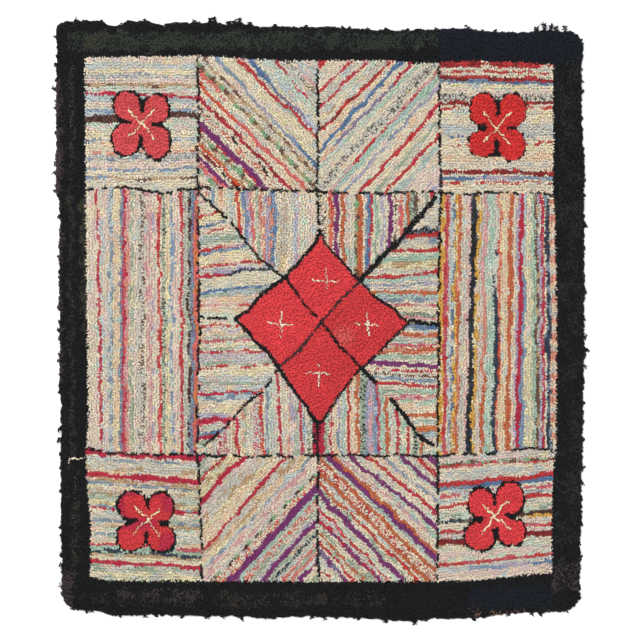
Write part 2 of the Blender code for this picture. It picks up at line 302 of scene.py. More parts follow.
# Charts worked out one a block
PANELS = (
    Panel("top_left_square", (0, 525), 0, chart(
        "7 cream/blush, 17 ice/stone, 28 cream/lemon, 38 stone*slate, 46 blush/cream, 56 tan/brown 5.5,"
        "65 pale_mint/blush, 73~80 crimson 6, 86~88 ice/aqua, 97 cream/blush, 108 ice/blue,"
        "123~113 dark_brown*brown 15, 136 pale_mint/blush, 153 cream/lemon, 165 ice/blue 5, 175 cream/peach,"
        "191~189 salmon/cream 6, 202 stone*slate, 213 blush/cream, 225 blue/slate 4, 234 cream,"
        "242 blue>tan>brown>tan>brown 5, 252 cream/stone")),
    Panel("top_middle_left", (-245, 263), 135.5, chart(
        "12 pink/cream 7.5, 19 cream, 26 leaf|stone|sage 7, 36 coral/pink 9, 44 plum 9, 51 cream,"
        "57 maroon/charcoal 3.5, 64 orange_red/rust 3.5, 70 tan/cream 3.5, 79 brown|leaf|tan 7.5,"
        "87 red/cream 2, 95 plum 12, 104 cream, 112 cream*orange_red, 118 charcoal/stone 3.5, 126 cream,"
        "129~132 crimson/maroon 7, 143 cream/peach, 151~149 coral>coral>orange_red 7,"
        "158~167 cream>cream>cream>cream>coral 6.5, 166~178 brown|leaf|tan 6.5, 176~183 cream/stone,"
        "186~191 tan/brown 5.5, 191~201 cream/blush, 195~213 denim>blue>lilac>slate>blue 6, 222 cream/lemon,"
        "239~235 sage/cream 5, 238~241 red 8.5, 246 cream/stone 3.5,"
        "246~257 lilac>lilac>violet>denim>lilac 6, 263 cream/ice, 273 pale_mint/ice, 272~296 red/rose 5.5,"
        "293 stone/pale_mint, 301 stone*smoke, 310 pink/stone 7.5, 322 ice/stone, 338 stone/blush")),
    Panel("top_middle_right", (-5, 515), 47.5, chart(
        "5 red 14.5, 14~44 cream/blush, 20~66 red/rose 5.5, 35~75 stone/cream, 50~84 red/crimson 6.5,"
        "52~101 mint/pale_mint 5, 73~99 lemon/tan 3, 92~110 red/maroon 6, 100~118 cream/peach,"
        "121~123 denim 7.5, 134~130 cream/peach, 135~143 salmon>violet>violet>crimson 5.5,"
        "142~155 mint/pale_mint 6, 158 cream/stone, 173 stone*smoke, 184 cream/stone, 193~186 red/pink 5.5,"
        "200~197 mint/aqua 11.5, 212~203 cream, 217~208 lilac/slate 5.5, 226~224 cream/peach,"
        "239~235 red/crimson 7, 248 cream/lemon, 262~256 sage/stone 6, 268 cream/stone,"
        "274~279 red/crimson 7, 282~286 cream, 291~293 aqua/pale_mint 10.5, 303 blush/cream, 318 blush/cream,"
        "335 blush/lilac")),
    Panel("top_right_square", (0, 515), 0, chart(
        "4 red/maroon 12, 14 cream/stone, 19 red/cream 4, 25 cream, 30~36 maroon/red 8.5,"
        "37~42 slate/denim 7.5, 50 cream/lemon, 60 cream/blush, 71 stone*smoke, 83 maroon/red 7,"
        "93 red/cream 4, 106 cream/lemon, 117 cream, 129 stone/ice, 148 cream*denim 5, 157 cream,"
        "168~162 red/cream 4, 176 cream/lemon, 192 peach/cream, 204 cream/stone, 218~223 maroon/red 7.5,"
        "232 denim>lilac>blue 6, 241 red/cream 4, 252 cream")),
    Panel("left_panel", (-471, 0), 90, chart(
        "7~3 cream/lemon, 14 cream/blush, 33~24 crimson/rose 4.5, 39~33 ice/cream, 44~41 blush/cream,"
        "52~50 ice/slate, 61 peach/lemon, 72 slate/violet 3.5, 78 crimson/rose 4, 84 pink/salmon 7.5,"
        "89 cream, 93 sage/lemon, 99 cream/blush, 105 stone/cream, 115 stone*brown, 123 cream/pink,"
        "130 pink/blush 7.5, 137 cream/lilac, 142 cream/blush, 150~148 red/coral 5.5, 158 sage*smoke,"
        "168 lemon/peach, 175~173 blue/ice 5, 183 blush/cream, 194 red/rose 5, 201 stone*sage,"
        "208 dark_brown/sage 5, 213~215 slate/violet 6, 221~223 coral/orange 6")),
    Panel("right_panel", (235, 0), 90, chart(
        "4~10 mustard/lemon 7.5, 13~19 rose/red 6, 21~25 stone/ice, 25~30 denim/cream 3.5,"
        "30~37 mustard/lemon 6, 36~44 rust/salmon 6, 46~53 stone/cream, 55~62 blush/pink,"
        "59~73 charcoal/deep_blue 9.5, 70~83 mustard/lemon 7, 79~90 stone/blush, 87~96 rust>salmon>pink 7,"
        "99~107 pale_mint/mint 14.5, 114~118 deep_blue>deep_blue>stone 7, 119~125 orange_red/salmon 4,"
        "129~135 peach/lemon, 139~147 rust 8.5, 146~155 cream/peach, 153~161 lilac/blush 5,"
        "158~167 crimson 6, 168~174 blue>blue>ice 5, 181~183 lemon/cream, 193~189 mint/sage,"
        "201~197 brown/tan 5, 207~202 lilac/stone, 212~208 crimson/rose 5.5, 217~212 cream,"
        "223~218 deep_blue/slate 8, 231~228 peach|salmon|stone")),
    Panel("bottom_left_square", (-466, -266), -3, chart(
        "2 crimson 6, 12 slate/ice 4, 18 cream/stone, 29 stone/tan, 37 cream/peach, 44 crimson 8,"
        "54 tan/blush, 62 slate/ice 4, 69 cream/lemon, 78 stone/tan, 88 pale_mint/sage, 98 lemon/tan,"
        "106 slate/ice 3.5, 111 crimson 5, 118 cream/peach, 127 stone/sage, 134 slate/ice 3.5, 141 peach/tan,"
        "148 pale_mint/sage, 154 cream, 160 slate/ice 3.5, 168 sage/stone 5, 175 cream/peach, 181 rose/red 4,"
        "189 mint/sage 6, 196 deep_blue/mint 4.5, 201 tan/sage 5, 208 cream/lemon, 218 crimson 8,"
        "229 stone/sage, 238 lemon/stone, 249 stone/sage")),
    Panel("bottom_middle_left", (-240, -275), 46.5, chart(
        "2 crimson 7, 18 stone/sage, 14~46 crimson 9, 45 lemon/tan, 58~67 crimson 10.5, 75 stone/blush,"
        "92 stone/tan, 104 lemon/tan, 106~116 peach/cream, 134~123 crimson 6, 139 stone/tan, 147 peach/tan,"
        "154 lemon/peach, 160 ice/slate, 167 blush/pink, 175 cream/pink, 183 stone/blush,"
        "187~192 dark_brown|leaf|stone 6, 197 cream*orange_red, 212 plum 12, 224 mint/aqua 6,"
        "234 stone*orange_red, 244 sage/cream, 252 stone/lilac, 259 plum 9, 266 stone/sage,"
        "276 deep_blue*sage 5.5, 283 stone/cream, 289 coral/pink 5, 295 sage/cream, 300 coral/salmon 5,"
        "306 stone/cream, 314 plum 6, 322 cream/sage, 335 sage/stone")),
    Panel("bottom_middle_right", (235, -272), -42.5, chart(
        "8 plum/crimson 9, 19 plum 8.5, 25 cream, 37~28 red/crimson 7.5, 46~37 cream/stone, 55~46 plum 8,"
        "64~49 mint/aqua 3.5, 70~54 cream, 84~62 slate/lilac 5, 90~68 cream/peach, 95~74 cream,"
        "101~80 red/crimson 6.5, 112~91 cream/stone, 124~102 plum 9, 133~111 cream/mint,"
        "138~120 pink/lilac 4, 139~131 cream/blush, 143~145 rust 7, 151~153 plum 8.5, 158~161 aqua/mint 3.5,"
        "165~175 rust 6.5, 172~185 cream*red, 186~198 rust 6.5, 194~203 cream/ice, 204~209 rust/red 5.5,"
        "209~219 cream/sage, 213~234 plum 10, 223~245 cream/pale_mint, 233~256 red/rose 5,"
        "243~261 stone/pink, 252~267 plum/crimson 7.5, 259~279 cream/sage, 266~292 rust 5,"
        "275~297 cream/sage, 283~302 red/crimson 5, 289~307 cream, 295~315 plum/violet 9,"
        "310~326 cream/pale_mint, 322~336 red/cream 4, 336~350 cream")),
    Panel("bottom_right_square", (239, -273), 5.5, chart(
        "5 blush/stone, 17~26 sage|leaf|brown 5, 24~30 red/rose 5, 31 cream, 39 ice/cream, 47 stone/cream,"
        "59~56 red 7.5, 67 slate>denim>denim 6.5, 74 cream/ice, 80 rose/ice 5.5, 89 aqua/slate 5,"
        "100~98 red 6, 110 cream/stone, 121 pale_mint/sage, 132 deep_blue>brown>dark_brown 8,"
        "139 cream>cream>cream>mustard 6, 144 cream/blush, 154 red/rose 6, 161 stone/blush, 174 maroon 12.5,"
        "181 cream/tan, 190 cream/pale_mint, 201 blush/stone, 212 pale_mint/cream, 219~216 red/rose 6,"
        "223 stone, 230 ice>blue>lilac>denim 6, 239 blush/cream, 250 cream/blush")),
    Panel("sector_right_upper", (0, 259), 0, chart(
        "26 aqua/mint, 49 cream/stone, 70 cream/stone, 83~77 charcoal*slate 5, 89 red 7, 101 stone/slate,"
        "113 cream/stone, 129~120 red 5.5, 144~133 mint/sage 9, 154~148 lemon/tan, 160 stone/cream,"
        "178~163 red 5, 184~173 aqua/mint 7.5, 194~187 lilac/slate 5, 196 cream/stone, 206~203 rust/salmon 6,"
        "213 mint/aqua, 224~217 slate/lilac 5, 230 pink/rose 4, 239 cream/lemon, 249 sage*smoke 6,"
        "257 pink/coral 5, 266 tan/charcoal")),
    Panel("sector_top_right", (-5, 0), 90, chart(
        "9 cream*smoke, 18 cream/peach, 22 orange/cream 3.5, 28 coral/red 5.5, 34 cream, 35~38 plum 9,"
        "44 cream, 49~51 rust 7.5, 60 blush/mint, 69 cream/stone, 78 leaf|brown|tan 6, 88~86 rust 8,"
        "93 cream, 101 denim/blue 6, 106~108 red/crimson 3.5, 117 mint/sage 7.5, 124 cream, 130 lilac/ice,"
        "136 cream, 144 plum 8.5, 149 cream, 154 brown/maroon 3, 160 cream/pink, 166 coral/rose 6.5,"
        "172 cream, 176 aqua/mint 5, 182 rust 5, 190 sage*smoke 7.5, 198 brown/cream 3.5, 206 cream/stone,"
        "216 charcoal/sage 5, 228 red/crimson 11.5, 240 cream/aqua")),
    Panel("sector_top_left", (-245, 0), 90, chart(
        "7 cream/tan, 17 red/salmon 4, 24 cream, 30 aqua/blue 6, 45 peach/salmon 8, 57 cream/pale_mint,"
        "70~65 ice/slate 5, 84~71 lemon/cream, 96~77 red/orange_red 7, 101~84 lemon/peach,"
        "108~90 blue/denim 6, 113~98 lilac/cream, 118~106 coral/pink 5, 122~112 cream/peach,"
        "128~117 sage/pale_mint 6, 132~122 cream, 137~126 salmon/peach 7, 142~136 lilac/cream,"
        "148~144 salmon/slate 6, 154 blue/denim 5, 162 stone/cream, 172 stone*tan 12, 184 cream/stone,"
        "197 ice/lilac, 202 pink/cream 3.5, 212 cream/pale_mint, 226 cream/blush, 240 cream")),
    Panel("sector_left_upper", (0, 263), 0, chart(
        "10 cream/stone, 30~12 pink/cream, 45~14 cream, 57~16 red/pink 5, 68~22 lemon/cream,"
        "80~36 denim/slate 5, 86~44 cream, 92~52 red/peach 4.5, 106~90 sage/ice 17, 126~105 red/pink 4.5,"
        "134~111 denim/slate 5, 146~122 lemon/cream, 160~142 red/pink 4.5, 167~151 stone/lilac,"
        "177~158 crimson>deep_blue>deep_blue 6, 191~173 cream/pale_mint, 209~195 denim/blue 5,"
        "215~208 ice/sage, 225~215 peach/blush, 238~231 red/pink 3.5, 246 peach/cream, 256 pale_mint/cream")),
    Panel("sector_left_lower", (0, 4), 0, chart(
        "8 cream/pale_mint, 18~11 red/pink 5, 26 lilac/cream, 33 cream/peach, 40 sage/stone, 46 pink/rose 5,"
        "55 lemon/cream, 62 sage/ice 4, 69~71 red/pink 5, 80 stone*lilac, 91 sage/blush,"
        "102~95 red/cream 3.5, 112 cream/lemon, 122 ice/stone, 133 sage/pink, 143 stone/ice,"
        "154~149 crimson 6, 162 ice/slate, 170 cream, 183 lemon/peach, 195 lilac/ice, 211~198 crimson/rose 9,"
        "223~206 cream/pale_mint, 237~210 denim/blue 6, 244~217 crimson/red 6, 251 sage/lemon,"
        "265 peach/pale_mint")),
    Panel("sector_bottom_left", (-245, 0), 90, chart(
        "14 cream/sage, 30 stone/cream, 44 crimson/pink 4, 58 stone*rose, 67 cream/tan, 81~69 crimson/red 6,"
        "89 peach/salmon 6, 95 sage/stone 3.5, 103 cream/stone, 114 stone*rose, 131~122 orange_red/red 5,"
        "137 slate/lilac 3.5, 146 pale_mint/ice, 155 cream/stone, 168~158 crimson 5, 173 cream/stone,"
        "182 peach/salmon 3.5, 189 blush/lilac, 195 stone/sage, 207~195 crimson/rose 5.5, 212~206 blue/ice 4,"
        "222 sage*smoke, 231 charcoal/crimson 3.5")),
    Panel("sector_bottom_right", (-5, 0), 90, chart(
        "7 crimson 9, 18~10 sage/mint, 29~16 red/crimson 4, 36~24 cream/peach, 46~32 slate>lilac>lilac 5,"
        "50 aqua/mint 9, 63~59 red 5, 69 cream/peach, 81~78 rust 7, 85 cream, 91 sage*green_grey 12,"
        "99 slate/lilac 5, 107 pink/lilac 6, 114 blue/ice 6, 123~119 crimson/rose 5, 128 pale_mint/mint,"
        "140~133 rust 7, 148 pale_mint/cream, 159 red/crimson 6, 170 cream/mint, 182~186 red 5, 190 cream,"
        "195 sage*green_grey 9, 202 cream, 209 rust 6, 220 cream/mint, 234 mint/cream")),
    Panel("sector_right_lower", (0, -10), 0, chart(
        "-5~9 denim/slate 6, 6~16 cream/ice, 14~23 rust/salmon 9.5, 31 stone/mint, 41 rose/crimson 4,"
        "53~50 rust/salmon 9.5, 58 cream, 64 sage/mint 7.5, 74~86 plum 9, 84~91 cream, 89~97 crimson/cream 4,"
        "98~106 brown/stone 4, 106~115 blue/slate 5, 120~124 red/crimson 6, 133~135 sage/mint 7.5,"
        "146~144 pink/rose 5.5, 151~156 mint/cream 6, 167 cream/peach, 188~181 rust/salmon 8, 190 cream,"
        "201~192 aqua/mint 6, 221~205 rust/orange 9, 222 aqua/slate, 240 cream/blush")),
)
PANEL_NAMES = [panel.name for panel in PANELS]
BEARINGS = {panel.bearing for panel in PANELS}

# What a place belongs to where it is in no panel
BORDER, DIAMOND, FLOWER, FLOWER_EDGE = 100, 101, 102, 103

# The diamond's edge anticlockwise from its top tip, its sides hollow between the tips
DIAMOND_CORNERS = (
    (0, 179), (-9, 155), (-42, 115), (-71, 86), (-110, 55), (-145, 20), (-171, 1), (-140, -31), (-101, -73),
    (-83, -96), (-55, -138), (-24, -184), (-11, -205), (3, -206), (20, -176), (56, -127), (82, -97),
    (129, -54), (177, -7), (140, 25), (109, 45), (78, 77), (45, 112), (12, 150),
)
NOTCHES = {
    "upper_left": (-71, 86), "lower_left": (-83, -96), "lower_right": (82, -97), "upper_right": (78, 77),
}

# Flowers: the superellipse's power, and the radii of the heart and of the necks
PETAL_SQUARENESS = 2.25
HEART_RADIUS = 17.0
NECK_RADIUS = 14.0


@dataclass(frozen=True)
class Flower:
    """A flower of four round petals on the diagonals.

    Args:
        middle: Where its veins cross.
        petals: Each petal's place from the middle, and its half width and half length.
        wools: The wools of its petals.
        line: Thickness of the black line round it.
        notch: How far black fills the notches between the petals, across and along.
    """

    middle: tuple[float, float]
    petals: tuple[tuple[float, float, float, float], ...]
    wools: tuple[Wool, ...]
    line: float
    notch: tuple[float, float]

    def depth(self, x: np.ndarray, y: np.ndarray) -> np.ndarray:
        """Distance outside the petals' edge, negative within them.

        A petal is a superellipse, |dx/a|^p + |dy/b|^p < 1, on a round neck that runs to the heart.

        Args:
            x: Plan places across the rug.
            y: Plan places along the rug.

        Returns:
            The least of the distances to the petals' rims, their necks' and the heart's.
        """
        dx, dy = x - self.middle[0], y - self.middle[1]
        best = np.hypot(dx, dy) - HEART_RADIUS
        for px, py, half_width, half_length in self.petals:
            share = np.clip((dx * px + dy * py) / (px * px + py * py), 0.0, 1.0)
            best = np.minimum(best, np.hypot(dx - share * px, dy - share * py) - NECK_RADIUS)
            wide, tall = np.abs(dx - px) / half_width, np.abs(dy - py) / half_length
            ring = (wide ** PETAL_SQUARENESS + tall ** PETAL_SQUARENESS) ** (1.0 / PETAL_SQUARENESS)
            best = np.minimum(best, (ring - 1.0) * half_width)
        return best


FLOWERS = (
    Flower((-358, 392), ((-29, 35, 25, 28), (30, 29, 23, 27), (-31, -31, 26, 31), (30, -37, 25, 32)),
           (Wool.FADED_RED,), 4.0, (44, 50)),
    Flower((352, 382), ((-27, 39, 26, 31), (32, 36, 25, 33), (-29, -31, 25, 26), (31, -33, 25, 31)),
           (Wool.SCARLET,), 2.0, (38, 56)),
    Flower((-345, -400), ((-32, 28, 26, 26), (26, 24, 23, 27), (-34, -36, 26, 25), (26, -38, 26, 24)),
           (Wool.DEEP_RED, Wool.CRIMSON), 5.0, (42, 44)),
    Flower((348, -393), ((-27, 26, 24, 28), (31, 35, 26, 30), (-30, -40, 28, 27), (34, -32, 26, 25)),
           (Wool.DIAMOND_RED,), 4.5, (44, 46)),
)


@dataclass(frozen=True)
class Line:
    """A hooked line of one wool.

    Args:
        wool: Its wool.
        points: The points it runs through.
        width: Its width in millimetres.
        gaps: The share of it that is worn away or covered.
        sway: How far it wanders to either side.
        lengthwise: Whether its strands lie along it, and not across it.
        uneven: How far its width swells and shrinks, as a share of it.
    """

    wool: Wool
    points: tuple[tuple[float, float], ...]
    width: float = 6.0
    gaps: float = 0.1
    sway: float = 2.2
    lengthwise: bool = False
    uneven: float = 0.5


def upright(table: tuple[tuple[float, float], ...]) -> tuple[tuple[float, float], ...]:
    """Turns a table of (y, x) into points (x, y)."""
    return tuple((x, y) for y, x in table)


LINES = (
    Line(Wool.BLACK, upright(COLUMN_LEFT), 5.8, 0.27),
    Line(Wool.BLACK, upright(COLUMN_RIGHT), 5.6, 0.27),
    Line(Wool.BLACK, ROW_TOP, 5.8, 0.27),
    Line(Wool.BLACK, ROW_BOTTOM, 5.8, 0.27),
    Line(Wool.BLACK, ((-5, 177), (-5, 520)), 5.4, 0.27),
    Line(Wool.BLACK, ((-5, -209), (-7, -400), (-3, -521)), 5.4, 0.3),
    Line(Wool.BLACK, ((-241, 4), (-169, 1)), 4.8, 0.2, 3.0),
    Line(Wool.BLACK, ((176, -3), (205, -7), (237, -11)), 6.2, 0.1),
    Line(Wool.BLACK, ((-243, 252), (-184, 199), (-150, 157), (-117, 118), (-74, 84)), 5.0, 0.16),
    Line(Wool.BLACK, ((231, 246), (160, 162), (80, 78)), 8.8, 0.02),
    Line(Wool.BLACK, ((-234, -253), (-206, -231), (-153, -175), (-117, -141), (-86, -102)), 5.0, 0.3),
    Line(Wool.BLACK, ((82, -97), (112, -127)), 8.0, 0.12),
    Line(Wool.BLACK, ((141, -157), (165, -189), (202, -239), (227, -253)), 8.0, 0.12),
    Line(Wool.BLACK, DIAMOND_CORNERS[:14], 6.2, 0.08),
    Line(Wool.BLACK, DIAMOND_CORNERS[13:] + DIAMOND_CORNERS[:1], 5.6, 0.08),
    Line(Wool.BLACK, (NOTCHES["upper_left"], (-30, 27), CENTRE), 4.8, 0.18, 1.6, False, 1.1),
    Line(Wool.BLACK, (CENTRE, (40, -56), NOTCHES["lower_right"]), 4.4, 0.24, 1.8, False, 1.2),
    Line(Wool.CHARCOAL, (NOTCHES["upper_right"], (33, 32), CENTRE), 5.0, 0.15, 1.8, False, 1.0),
    Line(Wool.CHARCOAL, (CENTRE, (-41, -60), NOTCHES["lower_left"]), 4.4, 0.12, 1.8, False, 0.9),
)

# Cream crosses in the diamond and veins in the flowers, as a share of a petal's place
CROSSES = ((11, 77), (-79, -9), (94, -9), (-3, -107))
CROSS_REACH = 26.0
VEIN_REACH = 0.9

# The worn spot's place and radius, and how much of the dye is gone there
WORN_SPOT = (47.0, -33.0, 21.0)
WORN_SHARE = 0.5

# A loose cream thread on the left border
LOOSE_THREAD = ((-505, -285), (-494, -276), (-484, -280), (-471, -273))


def linear(shade: Wool) -> tuple[float, float, float]:
    """Turns a wool's sRGB hex into linear red, green and blue."""
    parts = [int(shade.value[i:i + 2], 16) / 255.0 for i in (1, 3, 5)]
    return tuple(c / 12.92 if c <= 0.04045 else ((c + 0.055) / 1.055) ** 2.4 for c in parts)


WOOL_COLOURS = np.array([linear(w) for w in WOOLS])


def wool_index(wool: Wool) -> int:
    """The wool's row in WOOL_COLOURS."""
    return WOOLS.index(wool)


def value_noise(x: np.ndarray, y: np.ndarray, cell: float, seed: int) -> np.ndarray:
    """A smooth random field from -1 to 1.

    Random values sit on a square lattice and are blended between with 3t^2 - 2t^3 both ways.

    Args:
        x: Places across.
        y: Places along.
        cell: Spacing of the lattice.
        seed: Which field.

    Returns:
        The field at each place.
    """
    table = np.random.default_rng(seed).uniform(-1.0, 1.0, (256, 256))
    u, v = x / cell, y / cell
    i, j = np.floor(u).astype(int), np.floor(v).astype(int)
    s, t = u - i, v - j
    s, t = s * s * (3 - 2 * s), t * t * (3 - 2 * t)
    low = table[i & 255, j & 255] * (1 - s) + table[(i + 1) & 255, j & 255] * s
    high = table[i & 255, (j + 1) & 255] * (1 - s) + table[(i + 1) & 255, (j + 1) & 255] * s
    return low * (1 - t) + high * t


@dataclass(frozen=True)
class Wobble:
    """A smooth random unevenness of the work.

    Args:
        amount: Its greatest value either way.
        cell: Distance in millimetres over which it changes.
        seed: Which field of values it is.
    """

    amount: float
    cell: float
    seed: int

    def at(self, x: np.ndarray, y: np.ndarray, which: int = 0) -> np.ndarray:
        """Its value at each place: the amount times the field whose seed is which above its own."""
        return self.amount * value_noise(x, y, self.cell, self.seed + which)


def batches(count: int, size: int = 4000) -> list[np.ndarray]:
    """Parts that many places into batches of about a size, as index arrays."""
    return np.array_split(np.arange(count), max(1, count // size))


def within(x: np.ndarray, y: np.ndarray, starts: np.ndarray, ends: np.ndarray) -> np.ndarray:
    """Whether each place lies within a closed outline.

    By the even-odd rule: a level line from the place to the right crosses the outline's edges an odd number
    of times.

    Args:
        x: Places across.
        y: Places along.
        starts: The edges' first points, one row an edge.
        ends: Their second points.

    Returns:
        True within it.
    """
    ax, ay, bx, by = starts[:, 0], starts[:, 1], ends[:, 0], ends[:, 1]
    rise = np.where(by == ay, TINY, by - ay)
    result = np.zeros(len(x), bool)
    for part in batches(len(x)):
        px, py = x[part, None], y[part, None]
        hits = ((ay > py) != (by > py)) & (px < ax + (py - ay) * (bx - ax) / rise)
        result[part] = hits.sum(axis=1) % 2 == 1
    return result


def table_at(table: tuple[tuple[float, float], ...], place: np.ndarray) -> np.ndarray:
    """Reads a two-column table between its rows."""
    return np.interp(place, [row[0] for row in table], [row[1] for row in table])


@dataclass(frozen=True)
class Patch:
    """A part of the border hooked with another wool.

    Args:
        wool: The wool.
        left: Its least X.
        right: Its greatest X.
        low: Its least Y.
        high: Its greatest Y.
        share: How much of the patch that wool fills.
    """

    wool: Wool
    left: float
    right: float
    low: float
    high: float
    share: float


PATCHES = (
    Patch(Wool.NAVY, 236, 560, 515, 620, 0.85),
    Patch(Wool.GREEN_GREY, -505, 236, 541, 574, 0.62),
    Patch(Wool.OLIVE, -505, -420, 541, 570, 0.35),
    Patch(Wool.GREY_BROWN, -503, -494, -300, 520, 0.55),
    Patch(Wool.MAUVE, -540, -521, 250, 480, 0.75),
    Patch(Wool.MAUVE, -540, -519, -130, 240, 0.5),
    Patch(Wool.OLIVE, -478, -466, -30, 245, 0.6),
    Patch(Wool.GREY_BROWN, -498, -488, -515, -310, 0.5),
    Patch(Wool.CHARCOAL, 470, 560, -540, 515, 0.35),
    Patch(Wool.MAUVE, 469, 540, -540, -492, 0.55),
    Patch(Wool.GREY_BROWN, -480, 130, -573, -549, 0.4),
    Patch(Wool.MAUVE, -425, -240, -562, -540, 0.35),
    Patch(Wool.MAUVE, -530, -492, -572, -505, 0.6),
    Patch(Wool.NAVY, 300, 470, -572, -535, 0.8),
    Patch(Wool.BROWN, 299, 460, -598, -574, 0.35),
)


@dataclass
class RugPlan:
    """Where each block lies and what wool is hooked at each place.

    Args:
        half_field: Half the field's size, both ways.
        survey_step: Spacing of the lattice on which the blocks are measured.
        ragged_line: Unevenness of the black line round a flower.
        ragged_petal: Unevenness of its petals' rims.
        ragged_field: Unevenness of the field's edge.
        flower_span: Distance from its middle that holds all of a flower's petals.
        petal_clouds: Where a flower's second wool lies.
        petal_second: Value in those clouds from which it is the second wool.
        long_sway: Long wandering of the rows.
        short_sway: Short wandering of the rows.
        edge_sway: Wandering of each stripe's edge by itself.
        lane_step: Distance between two edges' lanes in that field.
        specks: Specks in which two wools mix.
        speck_stretch: How many times as long as wide they are.
        speck_grain: How far chance blurs them.
        speck_second: Value in them from which it is the second wool.
        tweed_share: Share of the second wool in a tweed.
        run_length: Length of a run of one wool.
        run_stagger: Shift of the runs from stripe to stripe, in runs.
        run_shift: Unevenness of the runs' ends, in runs.
        run_grain: How far chance blurs them, in runs.
        change_grain: How far specks blur a stripe's change of wool.
        fleck_clouds: Where a pale stripe has flecks of other pale wools.
        fleck_from: Value in those clouds from which it has them.
        fleck_middle: The middle of the flecks' places in FLECKS.
        fleck_wools: Which of FLECKS they are, as places either side of the middle.
        fleck_stretch: How many times as long as wide a patch of one fleck's wool is.
        fleck_grain: How far chance blurs it.
        border_clouds: Where other wools lie in the border's patches.
        patch_edges: Unevenness of the patches' edges.
        patch_grain: How far chance blurs them.
        patch_clouds: How much the clouds, and not chance, settle a patch's tufts.
    """

    half_field: tuple[float, float] = (475.0, 530.0)
    survey_step: float = 5.0
    ragged_line: Wobble = Wobble(3.0, 7.0, 91)
    ragged_petal: Wobble = Wobble(1.6, 6.0, 92)
    ragged_field: Wobble = Wobble(1.8, 7.0, 93)
    flower_span: float = 90.0
    petal_clouds: Wobble = Wobble(1.0, 34.0, 12)
    petal_second: float = 0.1
    long_sway: Wobble = Wobble(3.4, 30.0, 200)
    short_sway: Wobble = Wobble(1.7, 10.0, 300)
    edge_sway: Wobble = Wobble(1.5, 15.0, 600)
    lane_step: float = 37.3
    specks: Wobble = Wobble(1.0, 5.0, 400)
    speck_stretch: float = 3.0
    speck_grain: float = 0.25
    speck_second: float = 0.2
    tweed_share: float = 0.3
    run_length: float = 13.0
    run_stagger: float = 0.37
    run_shift: Wobble = Wobble(0.8, 20.0, 500)
    run_grain: float = 0.3
    change_grain: float = 0.12
    fleck_clouds: Wobble = Wobble(1.0, 5.0, 450)
    fleck_from: float = 0.42
    fleck_middle: float = 3.0
    fleck_wools: Wobble = Wobble(3.6, 9.0, 460)
    fleck_stretch: float = 2.0
    fleck_grain: float = 0.4
    border_clouds: Wobble = Wobble(0.5, 22.0, 31)
    patch_edges: Wobble = Wobble(8.0, 16.0, 32)
    patch_grain: float = 2.5
    patch_clouds: float = 0.45

    def __post_init__(self) -> None:
        """Measures on a coarse lattice how far each block's rows reach."""
        steps = [np.arange(-half, half + 1.0, self.survey_step) for half in self.half_field]
        across, along = np.meshgrid(*steps)
        x, y = across.ravel(), along.ravel()
        region = self.regions(x, y)
        self.spans = []
        for number, panel in enumerate(PANELS):
            reach = panel.measure(x[region == number], y[region == number])[1]
            self.spans.append((reach.min(), reach.max()))

    def regions(self, x: np.ndarray, y: np.ndarray) -> np.ndarray:
        """Says which block each place belongs to.

        Args:
            x: Plan places across the rug.
            y: Plan places along the rug.

        Returns:
            An index into PANELS, or BORDER, DIAMOND, FLOWER or FLOWER_EDGE.
        """
        above, below = y > table_at(ROW_TOP, x), y < table_at(ROW_BOTTOM, x)
        west, east = x < table_at(COLUMN_LEFT, y), x > table_at(COLUMN_RIGHT, y)
        left_half = x < table_at(MIDDLE, y)
        bearing = np.degrees(np.arctan2(y - CENTRE[1], x - CENTRE[0]))
        sector = np.searchsorted(SECTORS, (bearing - SECTORS[0]) % 360.0 + SECTORS[0], side="right") - 1
        at = PANEL_NAMES.index
        region = at("sector_right_upper") + sector
        region = np.where(above & left_half, at("top_middle_left"), region)
        region = np.where(above & ~left_half, at("top_middle_right"), region)
        region = np.where(below & left_half, at("bottom_middle_left"), region)
        region = np.where(below & ~left_half, at("bottom_middle_right"), region)
        for side, name in ((west, "left"), (east, "right")):
            region = np.where(side, at(f"{name}_panel"), region)
            region = np.where(side & above, at(f"top_{name}_square"), region)
            region = np.where(side & below, at(f"bottom_{name}_square"), region)
        corners = np.array(DIAMOND_CORNERS, float)
        region = np.where(within(x, y, corners, np.roll(corners, -1, axis=0)), DIAMOND, region)
        ragged = self.ragged_line.at(x, y)
        for flower in FLOWERS:
            depth = flower.depth(x, y) + self.ragged_petal.at(x, y)
            across, along = (x - flower.middle[0]) / flower.notch[0], (y - flower.middle[1]) / flower.notch[1]
            notched = across ** 4 + along ** 4 < 1.0
            region = np.where((depth < flower.line + ragged) | notched, FLOWER_EDGE, region)
            region = np.where(depth < 0.0, FLOWER, region)
        jag = self.ragged_field.at(x, y)
        field_part = (x > table_at(FIELD_LEFT, y) + jag) & (x < table_at(FIELD_RIGHT, y) + jag)
        field_part &= (y < table_at(FIELD_TOP, x) + jag) & (y > table_at(FIELD_BOTTOM, x) + jag)
        return np.where(field_part, region, BORDER)

    def wools(self, x: np.ndarray, y: np.ndarray, region: np.ndarray, rng: np.random.Generator) -> np.ndarray:
        """Picks the wool hooked at each place.

        Args:
            x: Plan places across the rug.
            y: Plan places along the rug.
            region: The block of each place.
            rng: Source of the small choices.

        Returns:
            Indices into WOOL_COLOURS.
        """
        wool = np.full(len(x), wool_index(Wool.BLACK))
        for number, panel in enumerate(PANELS):
            here = region == number
            wool[here] = self.panel_wools(panel, number, x[here], y[here], rng)
        here = region == BORDER
        wool[here] = self.border_wools(x[here], y[here], rng)
